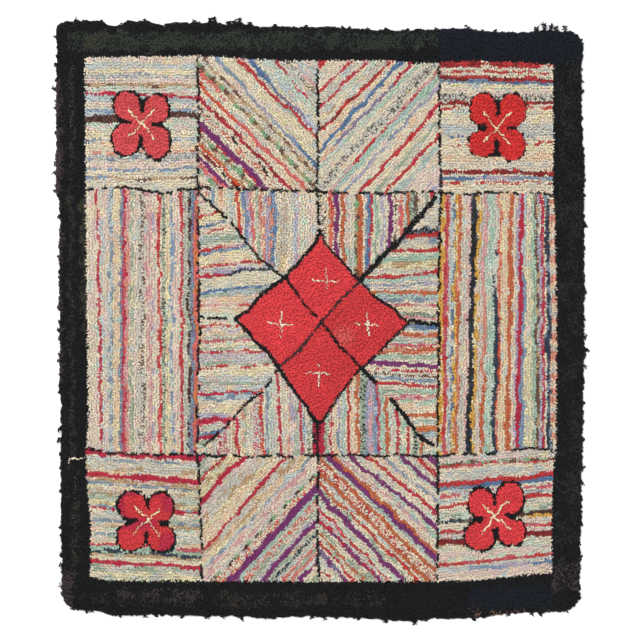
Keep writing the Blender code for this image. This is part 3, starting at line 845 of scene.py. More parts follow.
        # The diamond's right and bottom quarters are a deeper red than its other two
        deeper = x - CENTRE[0] > y - CENTRE[1]
        reds = np.where(deeper, wool_index(Wool.DEEP_RED), wool_index(Wool.DIAMOND_RED))
        wool = np.where(region == DIAMOND, reds, wool)
        for flower in FLOWERS:
            away = np.hypot(x - flower.middle[0], y - flower.middle[1])
            here = (region == FLOWER) & (away < self.flower_span)
            second = self.petal_clouds.at(x[here], y[here]) > self.petal_second
            choices = [wool_index(w) for w in flower.wools]
            wool[here] = np.where(second, choices[-1], choices[0])
        return wool

    def panel_wools(
        self, panel: Panel, number: int, x: np.ndarray, y: np.ndarray, rng: np.random.Generator
    ) -> np.ndarray:
        """Picks wools from a panel's chart, with rows that wander and wools that mix as the chart says.

        Args:
            panel: The panel.
            number: Its place in PANELS.
            x: Plan places across the rug.
            y: Plan places along the rug.
            rng: Source of the small choices.

        Returns:
            Indices into WOOL_COLOURS.
        """
        across, along = panel.measure(x, y)
        low, high = self.spans[number]
        share = np.clip((along - low) / (high - low), 0.0, 1.0)
        swayed = across + self.long_sway.at(along, across, number)
        swayed = swayed + self.short_sway.at(along, across, number)
        row = np.zeros(len(x), int)
        for place, (start, end) in enumerate(zip(panel.edges(False), panel.edges(True))):
            lane = np.full(len(x), self.lane_step * place)
            edge = start + (end - start) * share + self.edge_sway.at(along, lane, number)
            row += swayed > edge
        kinds = np.array([list(Blend).index(s.blend) for s in panel.stripes])[row]
        counts = np.array([len(s.wools) for s in panel.stripes])[row]
        wools = np.array([
            [wool_index(s.wools[min(k, len(s.wools) - 1)]) for k in range(MOST_WOOLS)] for s in panel.stripes
        ])[row]
        drawn = along / self.speck_stretch
        blur = rng.uniform(-self.speck_grain, self.speck_grain, len(x))
        speck = self.specks.at(drawn, across, number) + blur
        mottled = (speck > self.speck_second).astype(int)
        tweed = (rng.random(len(x)) < self.tweed_share).astype(int)
        loose = self.run_shift.at(along, across) + rng.uniform(-self.run_grain, self.run_grain, len(x))
        run = np.floor(along / self.run_length + row * self.run_stagger + loose).astype(int)
        change = np.clip((share + self.change_grain * speck) * counts, 0, counts - 1).astype(int)
        zero = np.zeros_like(mottled)
        picks = np.choose(kinds, [zero, mottled, tweed, run % counts, change])
        picked = wools[np.arange(len(x)), picks]
        pale = np.isin(picked, [wool_index(w) for w in PALE])
        cloud = self.fleck_clouds.at(drawn, across, number)
        blur = rng.uniform(-self.speck_grain, self.speck_grain, len(x))
        fleck = pale & (cloud + blur > self.fleck_from)
        place = self.fleck_middle + self.fleck_wools.at(along / self.fleck_stretch, across, number)
        place = place + rng.uniform(-self.fleck_grain, self.fleck_grain, len(x))
        flecks = np.array([wool_index(w) for w in FLECKS])
        return np.where(fleck, flecks[np.clip(place, 0, len(FLECKS) - 1).astype(int)], picked)

    def border_wools(self, x: np.ndarray, y: np.ndarray, rng: np.random.Generator) -> np.ndarray:
        """Picks the border's wools: black, with streaks and patches of other dark ones.

        Args:
            x: Plan places across the rug.
            y: Plan places along the rug.
            rng: Source of the small choices.

        Returns:
            Indices into WOOL_COLOURS.
        """
        wool = np.full(len(x), wool_index(Wool.BLACK))
        cloud = 0.5 + self.border_clouds.at(x, y)
        for patch in PATCHES:
            soft = self.patch_edges.at(x, y) + rng.normal(0.0, self.patch_grain, len(x))
            here = (x > patch.left + soft) & (x < patch.right + soft)
            here &= (y > patch.low + soft) & (y < patch.high + soft)
            lot = self.patch_clouds * cloud + (1.0 - self.patch_clouds) * rng.random(len(x))
            wool = np.where(here & (lot < patch.share), wool_index(patch.wool), wool)
        return wool


@dataclass
class Outline:
    """The rug's worn edge, read from the frame's solid.

    Args:
        node: The solid's name in the frame.
        underside_within: Height in millimetres below which a vertex belongs to the underside.
        decimals: Decimals of a millimetre to which two vertices in one place agree.
    """

    node: str
    underside_within: float = 0.01
    decimals: int = 3

    def __post_init__(self) -> None:
        """Finds the rim of the solid's underside, where an edge has one of its triangles only."""
        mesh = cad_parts[self.node].data
        places = np.zeros(len(mesh.vertices) * 3)
        mesh.vertices.foreach_get("co", places)
        places = places.reshape(-1, 3) / MM
        mesh.calc_loop_triangles()
        corners = np.zeros(len(mesh.loop_triangles) * 3, int)
        mesh.loop_triangles.foreach_get("vertices", corners)
        corners = corners.reshape(-1, 3)
        corners = corners[(places[corners][:, :, 2] < self.underside_within).all(axis=1)]
        keys, same = np.unique(np.round(places[:, :2], self.decimals), axis=0, return_inverse=True)
        same = same.reshape(-1)
        pairs = np.sort(np.vstack([same[corners[:, [a, b]]] for a, b in ((0, 1), (1, 2), (2, 0))]), axis=1)
        edges, counts = np.unique(pairs, axis=0, return_counts=True)
        edges = edges[(counts == 1) & (edges[:, 0] != edges[:, 1])]
        self.ends = keys[edges] - np.array(PLAN_SHIFT)
        log.info("outline: %d edges", len(self.ends))

    def inside(self, x: np.ndarray, y: np.ndarray) -> np.ndarray:
        """Whether each plan place lies within the outline."""
        return within(x, y, self.ends[:, 0], self.ends[:, 1])

    def distance(self, x: np.ndarray, y: np.ndarray) -> np.ndarray:
        """Distance of each plan place from the outline, in millimetres.

        Args:
            x: Plan places across the rug.
            y: Plan places along the rug.

        Returns:
            The distances, the same within and without.
        """
        a, step = self.ends[:, 0], self.ends[:, 1] - self.ends[:, 0]
        squared = np.maximum((step ** 2).sum(axis=1), TINY)
        result = np.zeros(len(x))
        for part in batches(len(x)):
            dx, dy = x[part, None] - a[:, 0], y[part, None] - a[:, 1]
            share = np.clip((dx * step[:, 0] + dy * step[:, 1]) / squared, 0.0, 1.0)
            result[part] = np.hypot(dx - share * step[:, 0], dy - share * step[:, 1]).min(axis=1)
        return result

    def depth(self, x: np.ndarray, y: np.ndarray, inner: tuple[float, float]) -> np.ndarray:
        """Distance of places on the rug from the outline, where they are near it.

        Args:
            x: Plan places across the rug.
            y: Plan places along the rug.
            inner: Half the size of the part that is far from the outline, both ways.

        Returns:
            The distances in millimetres, infinite in the inner part.
        """
        near = (np.abs(x) > inner[0]) | (np.abs(y) > inner[1])
        depth = np.full(len(x), np.inf)
        depth[near] = self.distance(x[near], y[near])
        return depth

    def reach(self, bearings: np.ndarray) -> np.ndarray:
        """Distance from the plan's middle to the outline in each direction, short of the loose locks.

        Args:
            bearings: The directions, in radians.

        Returns:
            The distances in millimetres.
        """
        c, s = np.cos(bearings)[:, None], np.sin(bearings)[:, None]
        a, b = self.ends[:, 0], self.ends[:, 1]
        side_a, side_b = c * a[:, 1] - s * a[:, 0], c * b[:, 1] - s * b[:, 0]
        ahead_a, ahead_b = c * a[:, 0] + s * a[:, 1], c * b[:, 0] + s * b[:, 1]
        span = np.where(side_a == side_b, TINY, side_a - side_b)
        ahead = ahead_a + (ahead_b - ahead_a) * side_a / span
        hits = (side_a * side_b <= 0) & (ahead > 0)
        return np.where(hits, ahead, np.inf).min(axis=1)


@dataclass
class Tufts:
    """Short arched strands of wool, as arrays with one row a tuft.

    Args:
        x: Plan places across the rug.
        y: Plan places along the rug.
        heading: Directions they lie in, in radians.
        length: Lengths in millimetres.
        width: Widths in millimetres.
        heights: Heights of the near end, the back and the far end, in millimetres.
        wool: Indices into WOOL_COLOURS.
    """

    x: np.ndarray
    y: np.ndarray
    heading: np.ndarray
    length: np.ndarray
    width: np.ndarray
    heights: np.ndarray
    wool: np.ndarray

    def pick(self, chosen: np.ndarray) -> "Tufts":
        """The chosen tufts alone."""
        return Tufts(*(getattr(self, name)[chosen] for name in self.__dataclass_fields__))

    @staticmethod
    def joined(groups: list["Tufts"]) -> "Tufts":
        """All the groups' tufts together."""
        names = Tufts.__dataclass_fields__
        return Tufts(*(np.concatenate([getattr(group, name) for group in groups]) for name in names))


# A tuft's vertices: near end, far end, left side, right side and the top of its back
STATIONS = np.array([-1.0, 1.0, 0.0, 0.0, 0.0])
SIDES = np.array([0.0, 0.0, 1.0, -1.0, 0.0])
# Painted shade and highlight: a tuft's ends and sides are darkened and its back lightened, as light falls on
# it
TUFT_PAINTED_SHADE_AND_HIGHLIGHT = np.array([0.95, 0.95, 0.94, 0.94, 1.04])
TOP = 4
TRIANGLES = np.array([(0, 3, 4), (3, 1, 4), (1, 2, 4), (2, 0, 4), (0, 2, 3), (1, 3, 2)])
BACK_MAP = ((0.0, 0.67), (1.0, 0.67), (0.5, 1.0), (0.5, 0.34), (0.5, 0.67))
BASE_MAP = ((0.0, 0.15), (1.0, 0.15), (0.5, 0.3), (0.5, 0.0), (0.5, 0.15))
CORNER_MAP = np.concatenate([np.array(BACK_MAP)[TRIANGLES[:4]], np.array(BASE_MAP)[TRIANGLES[4:]]])

# Margin round a tuft's part of the map, as a share of it
MAP_MARGIN = 0.12

# How far a tuft's back lies off its middle, how it bends, and the least height of its sides
BACK_SHIFT = 0.2
BEND = 0.45
LEAST_SIDE = 0.3

# How tufts differ in depth of dye, each by itself and in patches, and in hue
DYE_DEPTH = 0.05
DYE_PATCHES = Wobble(0.06, 18.0, 21)
DYE_HUE = 0.022

# The pile's waves: millimetres a radian of each, how far they slant or bend, and their heights
LONG_ACROSS, LONG_ALONG, LONG_SLANTED, LONG_SLANT, LONG_START = 83.0, 97.0, 131.0, 1.4, 0.6
SHORT_ACROSS, SHORT_BENDING, SHORT_BEND, SHORT_ALONG, SHORT_SLANTED = 21.0, 34.0, 1.1, 17.0, 45.0
LONG_HEIGHT, SHORT_HEIGHT = 0.9, 0.85


def pile_swell(x: np.ndarray, y: np.ndarray) -> np.ndarray:
    """The pile's soft unevenness in millimetres: two long waves and two short ones, as on the solid.

    Args:
        x: Plan places across the rug.
        y: Plan places along the rug.

    Returns:
        How far the pile stands above its mean height.
    """
    crossed = np.sin(x / LONG_ACROSS + LONG_START) * np.cos(y / LONG_ALONG)
    swell = 0.5 * crossed + 0.5 * np.sin((x + LONG_SLANT * y) / LONG_SLANTED)
    bent = np.sin(x / SHORT_ACROSS + SHORT_BEND * np.sin(y / SHORT_BENDING))
    lump = 0.6 * bent + 0.4 * np.cos(y / SHORT_ALONG + x / SHORT_SLANTED)
    return LONG_HEIGHT * swell + SHORT_HEIGHT * lump


@dataclass(frozen=True)
class Lay:
    """How one kind of block is hooked.

    Args:
        bearing: Direction of the rows, in degrees.
        row_pitch: Distance between rows.
        stitch: Distance between tufts in a row.
        wander: How far tufts lie from their row.
        spread: How far they turn from straight across the row, in degrees.
        unevenness: How far their heights differ, in millimetres.
    """

    bearing: float
    row_pitch: float = ROW_PITCH
    stitch: float = STITCH
    wander: float = 1.2
    spread: float = 28.0
    unevenness: float = 0.4


@dataclass(frozen=True)
class LineHooking:
    """How lines are hooked: black ones with tufts across them, cream ones as a thread along them.

    Args:
        size: Length of a black line's tufts, against a usual tuft's.
        mark_size: The same of a cream mark's.
        marks_from: Number of the first cream mark's lane.
        stitch: Distance between tufts, against the usual one.
        thread_stitch: The same along a thread.
        jitter: How far tufts lie off their places, as a share of that distance.
        one_row: Width of a line of one row.
        glance: Distance over which a line's direction is taken, either way.
        lane_step: Distance between two lines' lanes in the wobbles.
        row_step: Distance between two rows' lanes in them.
        long_bulge: Slow swelling of a line's width, as a share of it.
        short_bulge: Quick swelling of it.
        long_sway: Slow wandering, times the line's own sway.
        short_sway: Quick wandering, times the line's own sway.
        wear: Where a line is worn away or covered.
        scatter: How far its tufts lie off its rows.
        spread: How far they turn, in radians.
        thread_spread: How far a thread's turn.
        thread_width: Their width, against a usual tuft's.
    """

    size: float = 0.92
    mark_size: float = 0.85
    marks_from: int = 40
    stitch: float = 0.85
    thread_stitch: float = 1.9
    jitter: float = 0.25
    one_row: float = 4.5
    glance: float = 2.0
    lane_step: float = 7.3
    row_step: float = 5.3
    long_bulge: Wobble = Wobble(0.6, 14.0, 83)
    short_bulge: Wobble = Wobble(0.7, 6.0, 85)
    long_sway: Wobble = Wobble(1.0, 24.0, 81)
    short_sway: Wobble = Wobble(0.6, 8.0, 84)
    wear: Wobble = Wobble(0.5, 7.0, 82)
    scatter: float = 1.25
    spread: float = 0.7
    thread_spread: float = 0.35
    thread_width: float = 1.35


@dataclass(frozen=True)
class Spikes:
    """The field's outermost tufts. Pairs are a least and a greatest value, in millimetres.

    Args:
        jitter: How far they lie off their places along the edge.
        depth: How deep in the field they take their wool.
        shifts: How far their middles lie beyond the edge.
        spread: How far they turn, in degrees.
        size: Their length against a usual tuft's.
        lift: How far they stand above their neighbours.
    """

    jitter: float = 1.2
    depth: float = 7.0
    shifts: tuple[float, float] = (-3.5, 2.0)
    spread: float = 30.0
    size: float = 1.05
    lift: float = 0.6


@dataclass(frozen=True)
class Rim:
    """The rim's strands and rounding. Pairs are a least and a greatest value, in millimetres.

    Args:
        pitch: Distance between strands.
        probe: How far out from the outline its inner side is felt for.
        reaches: The strands' lengths.
        tips: How far their tips lie past the outline.
        tip_wobble: Unevenness of that in patches.
        spread: How far they turn, in radians.
        roots: Heights of their inner ends.
        backs: Heights of their backs.
        feet: Heights of their outer ends.
        widths: Their widths.
        inner: Half the size of the part that is far from the rim, both ways.
        lowest: Share of its height that the pile keeps at the rim.
        clear: Distance from the outline within which no tuft is kept.
    """

    pitch: float = 1.1
    probe: float = 0.6
    reaches: tuple[float, float] = (5.0, 9.0)
    tips: tuple[float, float] = (-1.4, 1.2)
    tip_wobble: Wobble = Wobble(1.2, 6.0, 51)
    spread: float = 0.5
    roots: tuple[float, float] = (3.5, 6.0)
    backs: tuple[float, float] = (3.6, 6.2)
    feet: tuple[float, float] = (0.5, 2.4)
    widths: tuple[float, float] = (2.0, 3.4)
    inner: tuple[float, float] = (500.0, 560.0)
    lowest: float = 0.52
    clear: float = 2.0


# Flowers and diamond, whose tufts lie close and in every direction
MOTIF_LAY = Lay(20.0, 3.6, 2.4, 1.4, 80.0, 0.12)


@dataclass
class Pile:
    """Hooks the tufts: rows in the blocks, lines over them and strands round the rim.

    Pairs are a least and a greatest value.

    Args:
        plan: Where the blocks lie.
        outline: The rug's worn edge.
        lengths: Lengths of tufts, against the usual one.
        widths: Their widths, against the usual one.
        ends: Heights of their ends, as a share of their rise.
        half_cloth: Half the size of the cloth that is hooked before it is cut to the outline, both ways.
        swirl: How the tufts' directions turn in patches, in degrees.
        astray: How far the rows stray, across and along.
        cell: Side of the squares in which a line takes the place of other tufts.
        half_cells: How many of them lie on each side of the middle.
        hooking: How lines are hooked.
        spikes: The field's outermost tufts.
        rim: The rim's strands and rounding.
    """

    plan: RugPlan
    outline: Outline
    lengths: tuple[float, float] = (0.7, 1.25)
    widths: tuple[float, float] = (0.75, 1.2)
    ends: tuple[float, float] = (0.1, 0.75)
    half_cloth: tuple[float, float] = (545.0, 620.0)
    swirl: Wobble = Wobble(16.0, 26.0, 61)
    astray: tuple[Wobble, Wobble] = (Wobble(1.6, 28.0, 71), Wobble(1.6, 28.0, 72))
    cell: float = 1.5
    half_cells: int = 450
    hooking: LineHooking = LineHooking()
    spikes: Spikes = Spikes()
    rim: Rim = Rim()

    def __post_init__(self) -> None:
        """Sets the one source of all its small choices."""
        self.rng = np.random.default_rng(SEED)

    def shape(
        self, x: np.ndarray, y: np.ndarray, heading: np.ndarray, wool: np.ndarray,
        size: float = 1.0, lift: float = 0.0, unevenness: float = 0.4,
    ) -> Tufts:
        """Gives tufts at these places their sizes and heights.

        Args:
            x: Plan places across the rug.
            y: Plan places along the rug.
            heading: Directions in radians.
            wool: Indices into WOOL_COLOURS.
            size: Their length against a usual tuft's.
            lift: How far they stand above their neighbours, in millimetres.
            unevenness: How far their heights differ, in millimetres.

        Returns:
            The tufts.
        """
        rng, count = self.rng, len(x)
        length = TUFT_LENGTH * size * rng.uniform(*self.lengths, count)
        width = TUFT_WIDTH * rng.uniform(*self.widths, count)
        rise = PILE_RISE + lift + pile_swell(x, y) + rng.normal(0.0, unevenness, count)
        ends = rng.uniform(*self.ends, (count, 2)) * rise[:, None]
        heights = np.column_stack([ends[:, 0], rise, ends[:, 1]])
        return Tufts(x, y, heading, length, width, BED_HEIGHT + heights, wool)

    def block_rows(self) -> tuple[Tufts, np.ndarray]:
        """Hooks every block and the border in its own rows.

        Returns:
            The tufts and the block of each.
        """
        lays = [(Lay(b), [i for i, p in enumerate(PANELS) if p.bearing == b]) for b in sorted(BEARINGS)]
        lays.append((MOTIF_LAY, [DIAMOND, FLOWER, FLOWER_EDGE]))
        groups, blocks = [], []
        for lay, wanted in lays:
            x, y = self.lattice(lay)
            region = self.plan.regions(x, y)
            keep = np.isin(region, wanted)
            if lay.bearing in (0, 90):
                level = (y > table_at(FIELD_TOP, x)) | (y < table_at(FIELD_BOTTOM, x))
                keep |= (region == BORDER) & (level == (lay.bearing == 0))
            x, y, region = x[keep], y[keep], region[keep]
            inside = self.outline.inside(x, y)
            x, y, region = x[inside], y[inside], region[inside]
            turn = lay.bearing + 90.0 + self.rng.normal(0.0, lay.spread, len(x))
            turn += self.swirl.at(x, y)
            turn += 180.0 * (self.rng.random(len(x)) < 0.5)
            wool = self.plan.wools(x, y, region, self.rng)
            groups.append(self.shape(x, y, np.radians(turn), wool, unevenness=lay.unevenness))
            blocks.append(region)
        return Tufts.joined(groups), np.concatenate(blocks)

    def lattice(self, lay: Lay) -> tuple[np.ndarray, np.ndarray]:
        """Places of the tufts in rows that run along a bearing, each a little off its place.

        Args:
            lay: How they are hooked.

        Returns:
            Their plan places.
        """
        rows = np.arange(-REACH, REACH, lay.row_pitch)
        steps = np.arange(-REACH, REACH, lay.stitch)
        across, along = np.meshgrid(rows, steps, indexing="ij")
        along = along + (np.arange(len(rows)) % 2)[:, None] * lay.stitch / 2
        along = along + self.rng.uniform(-0.5, 0.5, along.shape) * lay.stitch
        across = across + self.rng.normal(0.0, lay.wander, across.shape)
        turn = math.radians(lay.bearing)
        x = along * math.cos(turn) - across * math.sin(turn)
        y = along * math.sin(turn) + across * math.cos(turn)
        near = (np.abs(x) < self.half_cloth[0]) & (np.abs(y) < self.half_cloth[1])
        x, y = x[near], y[near]
        return x + self.astray[0].at(x, y), y + self.astray[1].at(x, y)

    def line(self, line: Line, seed: int, size: float) -> Tufts:
        """Hooks one line, thin ones in one row and thick ones in two or three.

        Args:
            line: The line.
            seed: Which wanderings it gets.
            size: Its tufts' length against a usual tuft's.

        Returns:
            Its tufts.
        """
        hooking, points = self.hooking, np.array(line.points, float)
        steps = np.linalg.norm(np.diff(points, axis=0), axis=1)
        marks = np.concatenate([[0.0], np.cumsum(steps)])
        stitch = STITCH * (hooking.thread_stitch if line.lengthwise else hooking.stitch)
        place = np.arange(0.0, marks[-1], stitch)
        place = place + self.rng.uniform(-hooking.jitter, hooking.jitter, len(place)) * stitch
        rows = 1 if line.lengthwise else max(1, round((line.width - hooking.one_row) / LINE_ROW_PITCH) + 1)
        row = np.tile(np.arange(rows), len(place))
        offset = (row - (rows - 1) / 2) * LINE_ROW_PITCH
        place = np.repeat(place, rows)
        x, y = np.interp(place, marks, points[:, 0]), np.interp(place, marks, points[:, 1])
        ahead = np.clip(place + hooking.glance, 0.0, marks[-1])
        behind = np.clip(place - hooking.glance, 0.0, marks[-1])
        turn = np.arctan2(
            np.interp(ahead, marks, points[:, 1]) - np.interp(behind, marks, points[:, 1]),
            np.interp(ahead, marks, points[:, 0]) - np.interp(behind, marks, points[:, 0]),
        )
        lane = np.full(len(place), seed * hooking.lane_step)
        thick = 1.0 + line.uneven * (hooking.long_bulge.at(place, lane) + hooking.short_bulge.at(place, lane))
        offset = offset * thick
        offset = offset + line.sway * hooking.long_sway.at(place, lane)
        offset = offset + line.sway * hooking.short_sway.at(place, lane)
        worn = 0.5 + hooking.wear.at(place, lane + row * hooking.row_step)
        offset = offset + self.rng.normal(0.0, hooking.scatter, len(place))
        x, y = x - offset * np.sin(turn), y + offset * np.cos(turn)
        spread = hooking.thread_spread if line.lengthwise else hooking.spread
        heading = turn + self.rng.normal(0.0, spread, len(place))
        heading = heading + (0.0 if line.lengthwise else math.pi / 2)
        wool = np.full(len(place), wool_index(line.wool))
        tufts = self.shape(x, y, heading, wool, size, LINE_LIFT)
        tufts.length = tufts.length * thick
        tufts.width = tufts.width * (hooking.thread_width * thick if line.lengthwise else 1.0)
        return tufts.pick(worn > line.gaps)

    def lines(self) -> Tufts:
        """Hooks the black lines between the blocks and round and across the diamond."""
        return Tufts.joined([self.line(line, i, self.hooking.size) for i, line in enumerate(LINES)])

    def cream_marks(self) -> Tufts:
        """Hooks the crosses in the diamond, the veins of the flowers and the thread on the border.

        Returns:
            Their tufts.
        """
        marks = [Line(Wool.CREAM, LOOSE_THREAD, 1.5, 0.0, 0.6, True)]
        for x, y in CROSSES:
            level = ((x - CROSS_REACH, y + 1), (x, y), (x + CROSS_REACH, y - 2))
            plumb = ((x + 1, y - CROSS_REACH), (x, y), (x - 1, y + CROSS_REACH))
            marks += [Line(Wool.CREAM, path, 3.0, 0.14, 2.2, True) for path in (level, plumb)]
        for flower in FLOWERS:
            cx, cy = flower.middle
            for px, py, _, _ in flower.petals:
                tip = (cx + VEIN_REACH * px, cy + VEIN_REACH * py)
                marks.append(Line(Wool.LEMON, ((cx, cy), tip), 3.0, 0.1, 1.8, True))
        numbered = enumerate(marks, self.hooking.marks_from)
        return Tufts.joined([self.line(mark, i, self.hooking.mark_size) for i, mark in numbered])

    def edge_spikes(self) -> Tufts:
        """Lays the outermost tufts of the field, whose points stand out over the border.

        Returns:
            The tufts.
        """
        rng, spikes, groups = self.rng, self.spikes, []
        sides = (
            (FIELD_TOP, True, 90.0), (FIELD_BOTTOM, True, -90.0),
            (FIELD_LEFT, False, 180.0), (FIELD_RIGHT, False, 0.0),
        )
        for table, level, outward in sides:
            place = np.arange(table[0][0], table[-1][0], SPIKE_PITCH)
            place = place + rng.uniform(-spikes.jitter, spikes.jitter, len(place))
            line = table_at(table, place)
            out = np.array([math.cos(math.radians(outward)), math.sin(math.radians(outward))])
            x, y = (place, line) if level else (line, place)
            deep_x, deep_y = x - spikes.depth * out[0], y - spikes.depth * out[1]
            region = self.plan.regions(deep_x, deep_y)
            wool = self.plan.wools(deep_x, deep_y, region, rng)
            shift = rng.uniform(*spikes.shifts, len(place))
            heading = np.radians(outward + rng.normal(0.0, spikes.spread, len(place)))
            x, y = x + shift * out[0], y + shift * out[1]
            groups.append(self.shape(x, y, heading, wool, spikes.size, spikes.lift))
        return Tufts.joined(groups)

    def rim_strands(self) -> Tufts:
        """Lays strands over the rim all round, their tips a little past the worn outline.

        Returns:
            The strands, as tufts.
        """
        rng, rim = self.rng, self.rim
        start, step = self.outline.ends[:, 0], self.outline.ends[:, 1] - self.outline.ends[:, 0]
        length = np.linalg.norm(step, axis=1)
        counts = np.maximum(1, np.round(length / rim.pitch)).astype(int)
        edge = np.repeat(np.arange(len(length)), counts)
        share = rng.random(len(edge))
        x, y = (start[edge] + step[edge] * share[:, None]).T
        out = np.column_stack([step[:, 1], -step[:, 0]]) / length[:, None]
        probe = (start + step / 2) + out * rim.probe
        out = np.where(self.outline.inside(probe[:, 0], probe[:, 1])[:, None], -out, out)[edge]
        reach = rng.uniform(*rim.reaches, len(edge))
        past = rng.uniform(*rim.tips, len(edge)) + rim.tip_wobble.at(x, y)
        heading = np.arctan2(out[:, 1], out[:, 0]) + rng.normal(0.0, rim.spread, len(edge))
        x = x + np.cos(heading) * (past - reach / 2)
        y = y + np.sin(heading) * (past - reach / 2)
        parts = (rim.roots, rim.backs, rim.feet)
        heights = np.column_stack([rng.uniform(*part, len(edge)) for part in parts])
        wool = self.plan.border_wools(x, y, rng)
        return Tufts(x, y, heading, reach, rng.uniform(*rim.widths, len(edge)), heights, wool)

    def lower_rim(self, tufts: Tufts) -> Tufts:
        """Brings tufts near the outline down, as the pile rounds off there.

        Args:
            tufts: The tufts.

        Returns:
            Those of them that lie well within it, lowered.
        """
        rim = self.rim
        depth = self.outline.depth(tufts.x, tufts.y, rim.inner)
        fall = rim.lowest + (1.0 - rim.lowest) * np.sqrt(np.clip(depth / RIM_FALL, 0.0, 1.0))
        tufts.heights = tufts.heights * fall[:, None]
        return tufts.pick(depth > rim.clear)

    def clear_of(self, tufts: Tufts, blocks: np.ndarray, lines: Tufts) -> tuple[Tufts, np.ndarray]:
        """Leaves out the tufts that a line takes the place of.

        Args:
            tufts: The tufts of the blocks.
            blocks: The block of each.
            lines: The tufts of the lines.

        Returns:
            The tufts left, and their blocks.
        """
        cell, middle = self.cell, self.half_cells
        grid = np.zeros((2 * middle, 2 * middle), bool)
        i = np.round(lines.x / cell).astype(int) + middle
        j = np.round(lines.y / cell).astype(int) + middle
        for di in (-1, 0, 1):
            for dj in (-1, 0, 1):
                grid[i + di, j + dj] = True
        i = np.round(tufts.x / cell).astype(int) + middle
        j = np.round(tufts.y / cell).astype(int) + middle
        taken = grid[i, j]
        return tufts.pick(~taken), blocks[~taken]


def tuft_colours(tufts: Tufts, rng: np.random.Generator) -> np.ndarray:
    """Colours of the tufts' vertices.

    Each tuft varies a little in depth and hue of dye, its ends and sides carry painted shade and its back a
    painted highlight, and the worn spot by the diamond's middle is faded.

    Args:
        tufts: The tufts.
        rng: Source of the variation.

    Returns:
        Linear colours, one row a vertex.
    """
    count = len(tufts.x)
    colour = WOOL_COLOURS[tufts.wool]
    depth = np.exp(rng.normal(0.0, DYE_DEPTH, count) + DYE_PATCHES.at(tufts.x, tufts.y))
    hue = np.exp(rng.normal(0.0, DYE_HUE, (count, 3)))
    colour = colour * depth[:, None] * hue
    away = np.hypot(tufts.x - WORN_SPOT[0], tufts.y - WORN_SPOT[1]) / WORN_SPOT[2]
    reds = np.isin(tufts.wool, [wool_index(w) for w in (Wool.DIAMOND_RED, Wool.DEEP_RED)])
    worn = (WORN_SHARE * np.exp(-away ** 4) * reds)[:, None]
    colour = colour * (1 - worn) + np.array(linear(Wool.CORAL)) * worn
    # Paints shade on each tuft's ends and sides and a highlight on its back
    shaded = colour[:, None, :] * TUFT_PAINTED_SHADE_AND_HIGHLIGHT[None, :, None]
    return np.clip(shaded.reshape(-1, 3), 0.0, 1.0)


def mesh_from(name: str, places: np.ndarray, faces: np.ndarray) -> bpy.types.Mesh:
    """Makes a mesh from whole arrays.

    Args:
        name: Its name.
        places: Vertices in metres, one row each.
        faces: Vertex numbers, one row a face, all with as many corners.

    Returns:
        The mesh, shaded smooth.
    """
    mesh = bpy.data.meshes.new(name)
    sides = faces.shape[1]
    mesh.vertices.add(len(places))
    mesh.vertices.foreach_set("co", places.astype(np.float32).ravel())
    mesh.loops.add(faces.size)
    mesh.loops.foreach_set("vertex_index", faces.astype(np.int32).ravel())
    mesh.polygons.add(len(faces))
    mesh.polygons.foreach_set("loop_start", np.arange(0, faces.size, sides, dtype=np.int32))
    mesh.update(calc_edges=True)
    mesh.polygons.foreach_set("use_smooth", np.ones(len(mesh.polygons), bool))
    return mesh


def paint(mesh: bpy.types.Mesh, colours: np.ndarray, corners: np.ndarray) -> None:
    """Stores vertex colours as wool_colour, and a map of the surface.

    Args:
        mesh: The mesh.
        colours: Linear colours, one row a vertex.
        corners: Places on the map from 0 to 1, one row a face corner.
    """
    layer = mesh.attributes.new("wool_colour", "FLOAT_COLOR", "POINT")
    full = np.column_stack([colours, np.ones(len(colours))])
    layer.data.foreach_set("color", full.astype(np.float32).ravel())
    uv = mesh.uv_layers.new(name="OFBake")
    uv.data.foreach_set("uv", corners.astype(np.float32).ravel())


def add_piece(name: str, mesh: bpy.types.Mesh, material: bpy.types.Material) -> bpy.types.Object:
    """Links a piece of the rug at the origin and lets it ride on the frame.

    Args:
        name: Its name.
        mesh: Its mesh, in place.
        material: Its material.

    Returns:
        The piece.
    """
    mesh.materials.append(material)
    piece = bpy.data.objects.new(name, mesh)
    bpy.context.scene.collection.objects.link(piece)
    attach(piece, "root")
    log.info("%s: %d triangles", name, len(mesh.loops) - 2 * len(mesh.polygons))
    return piece


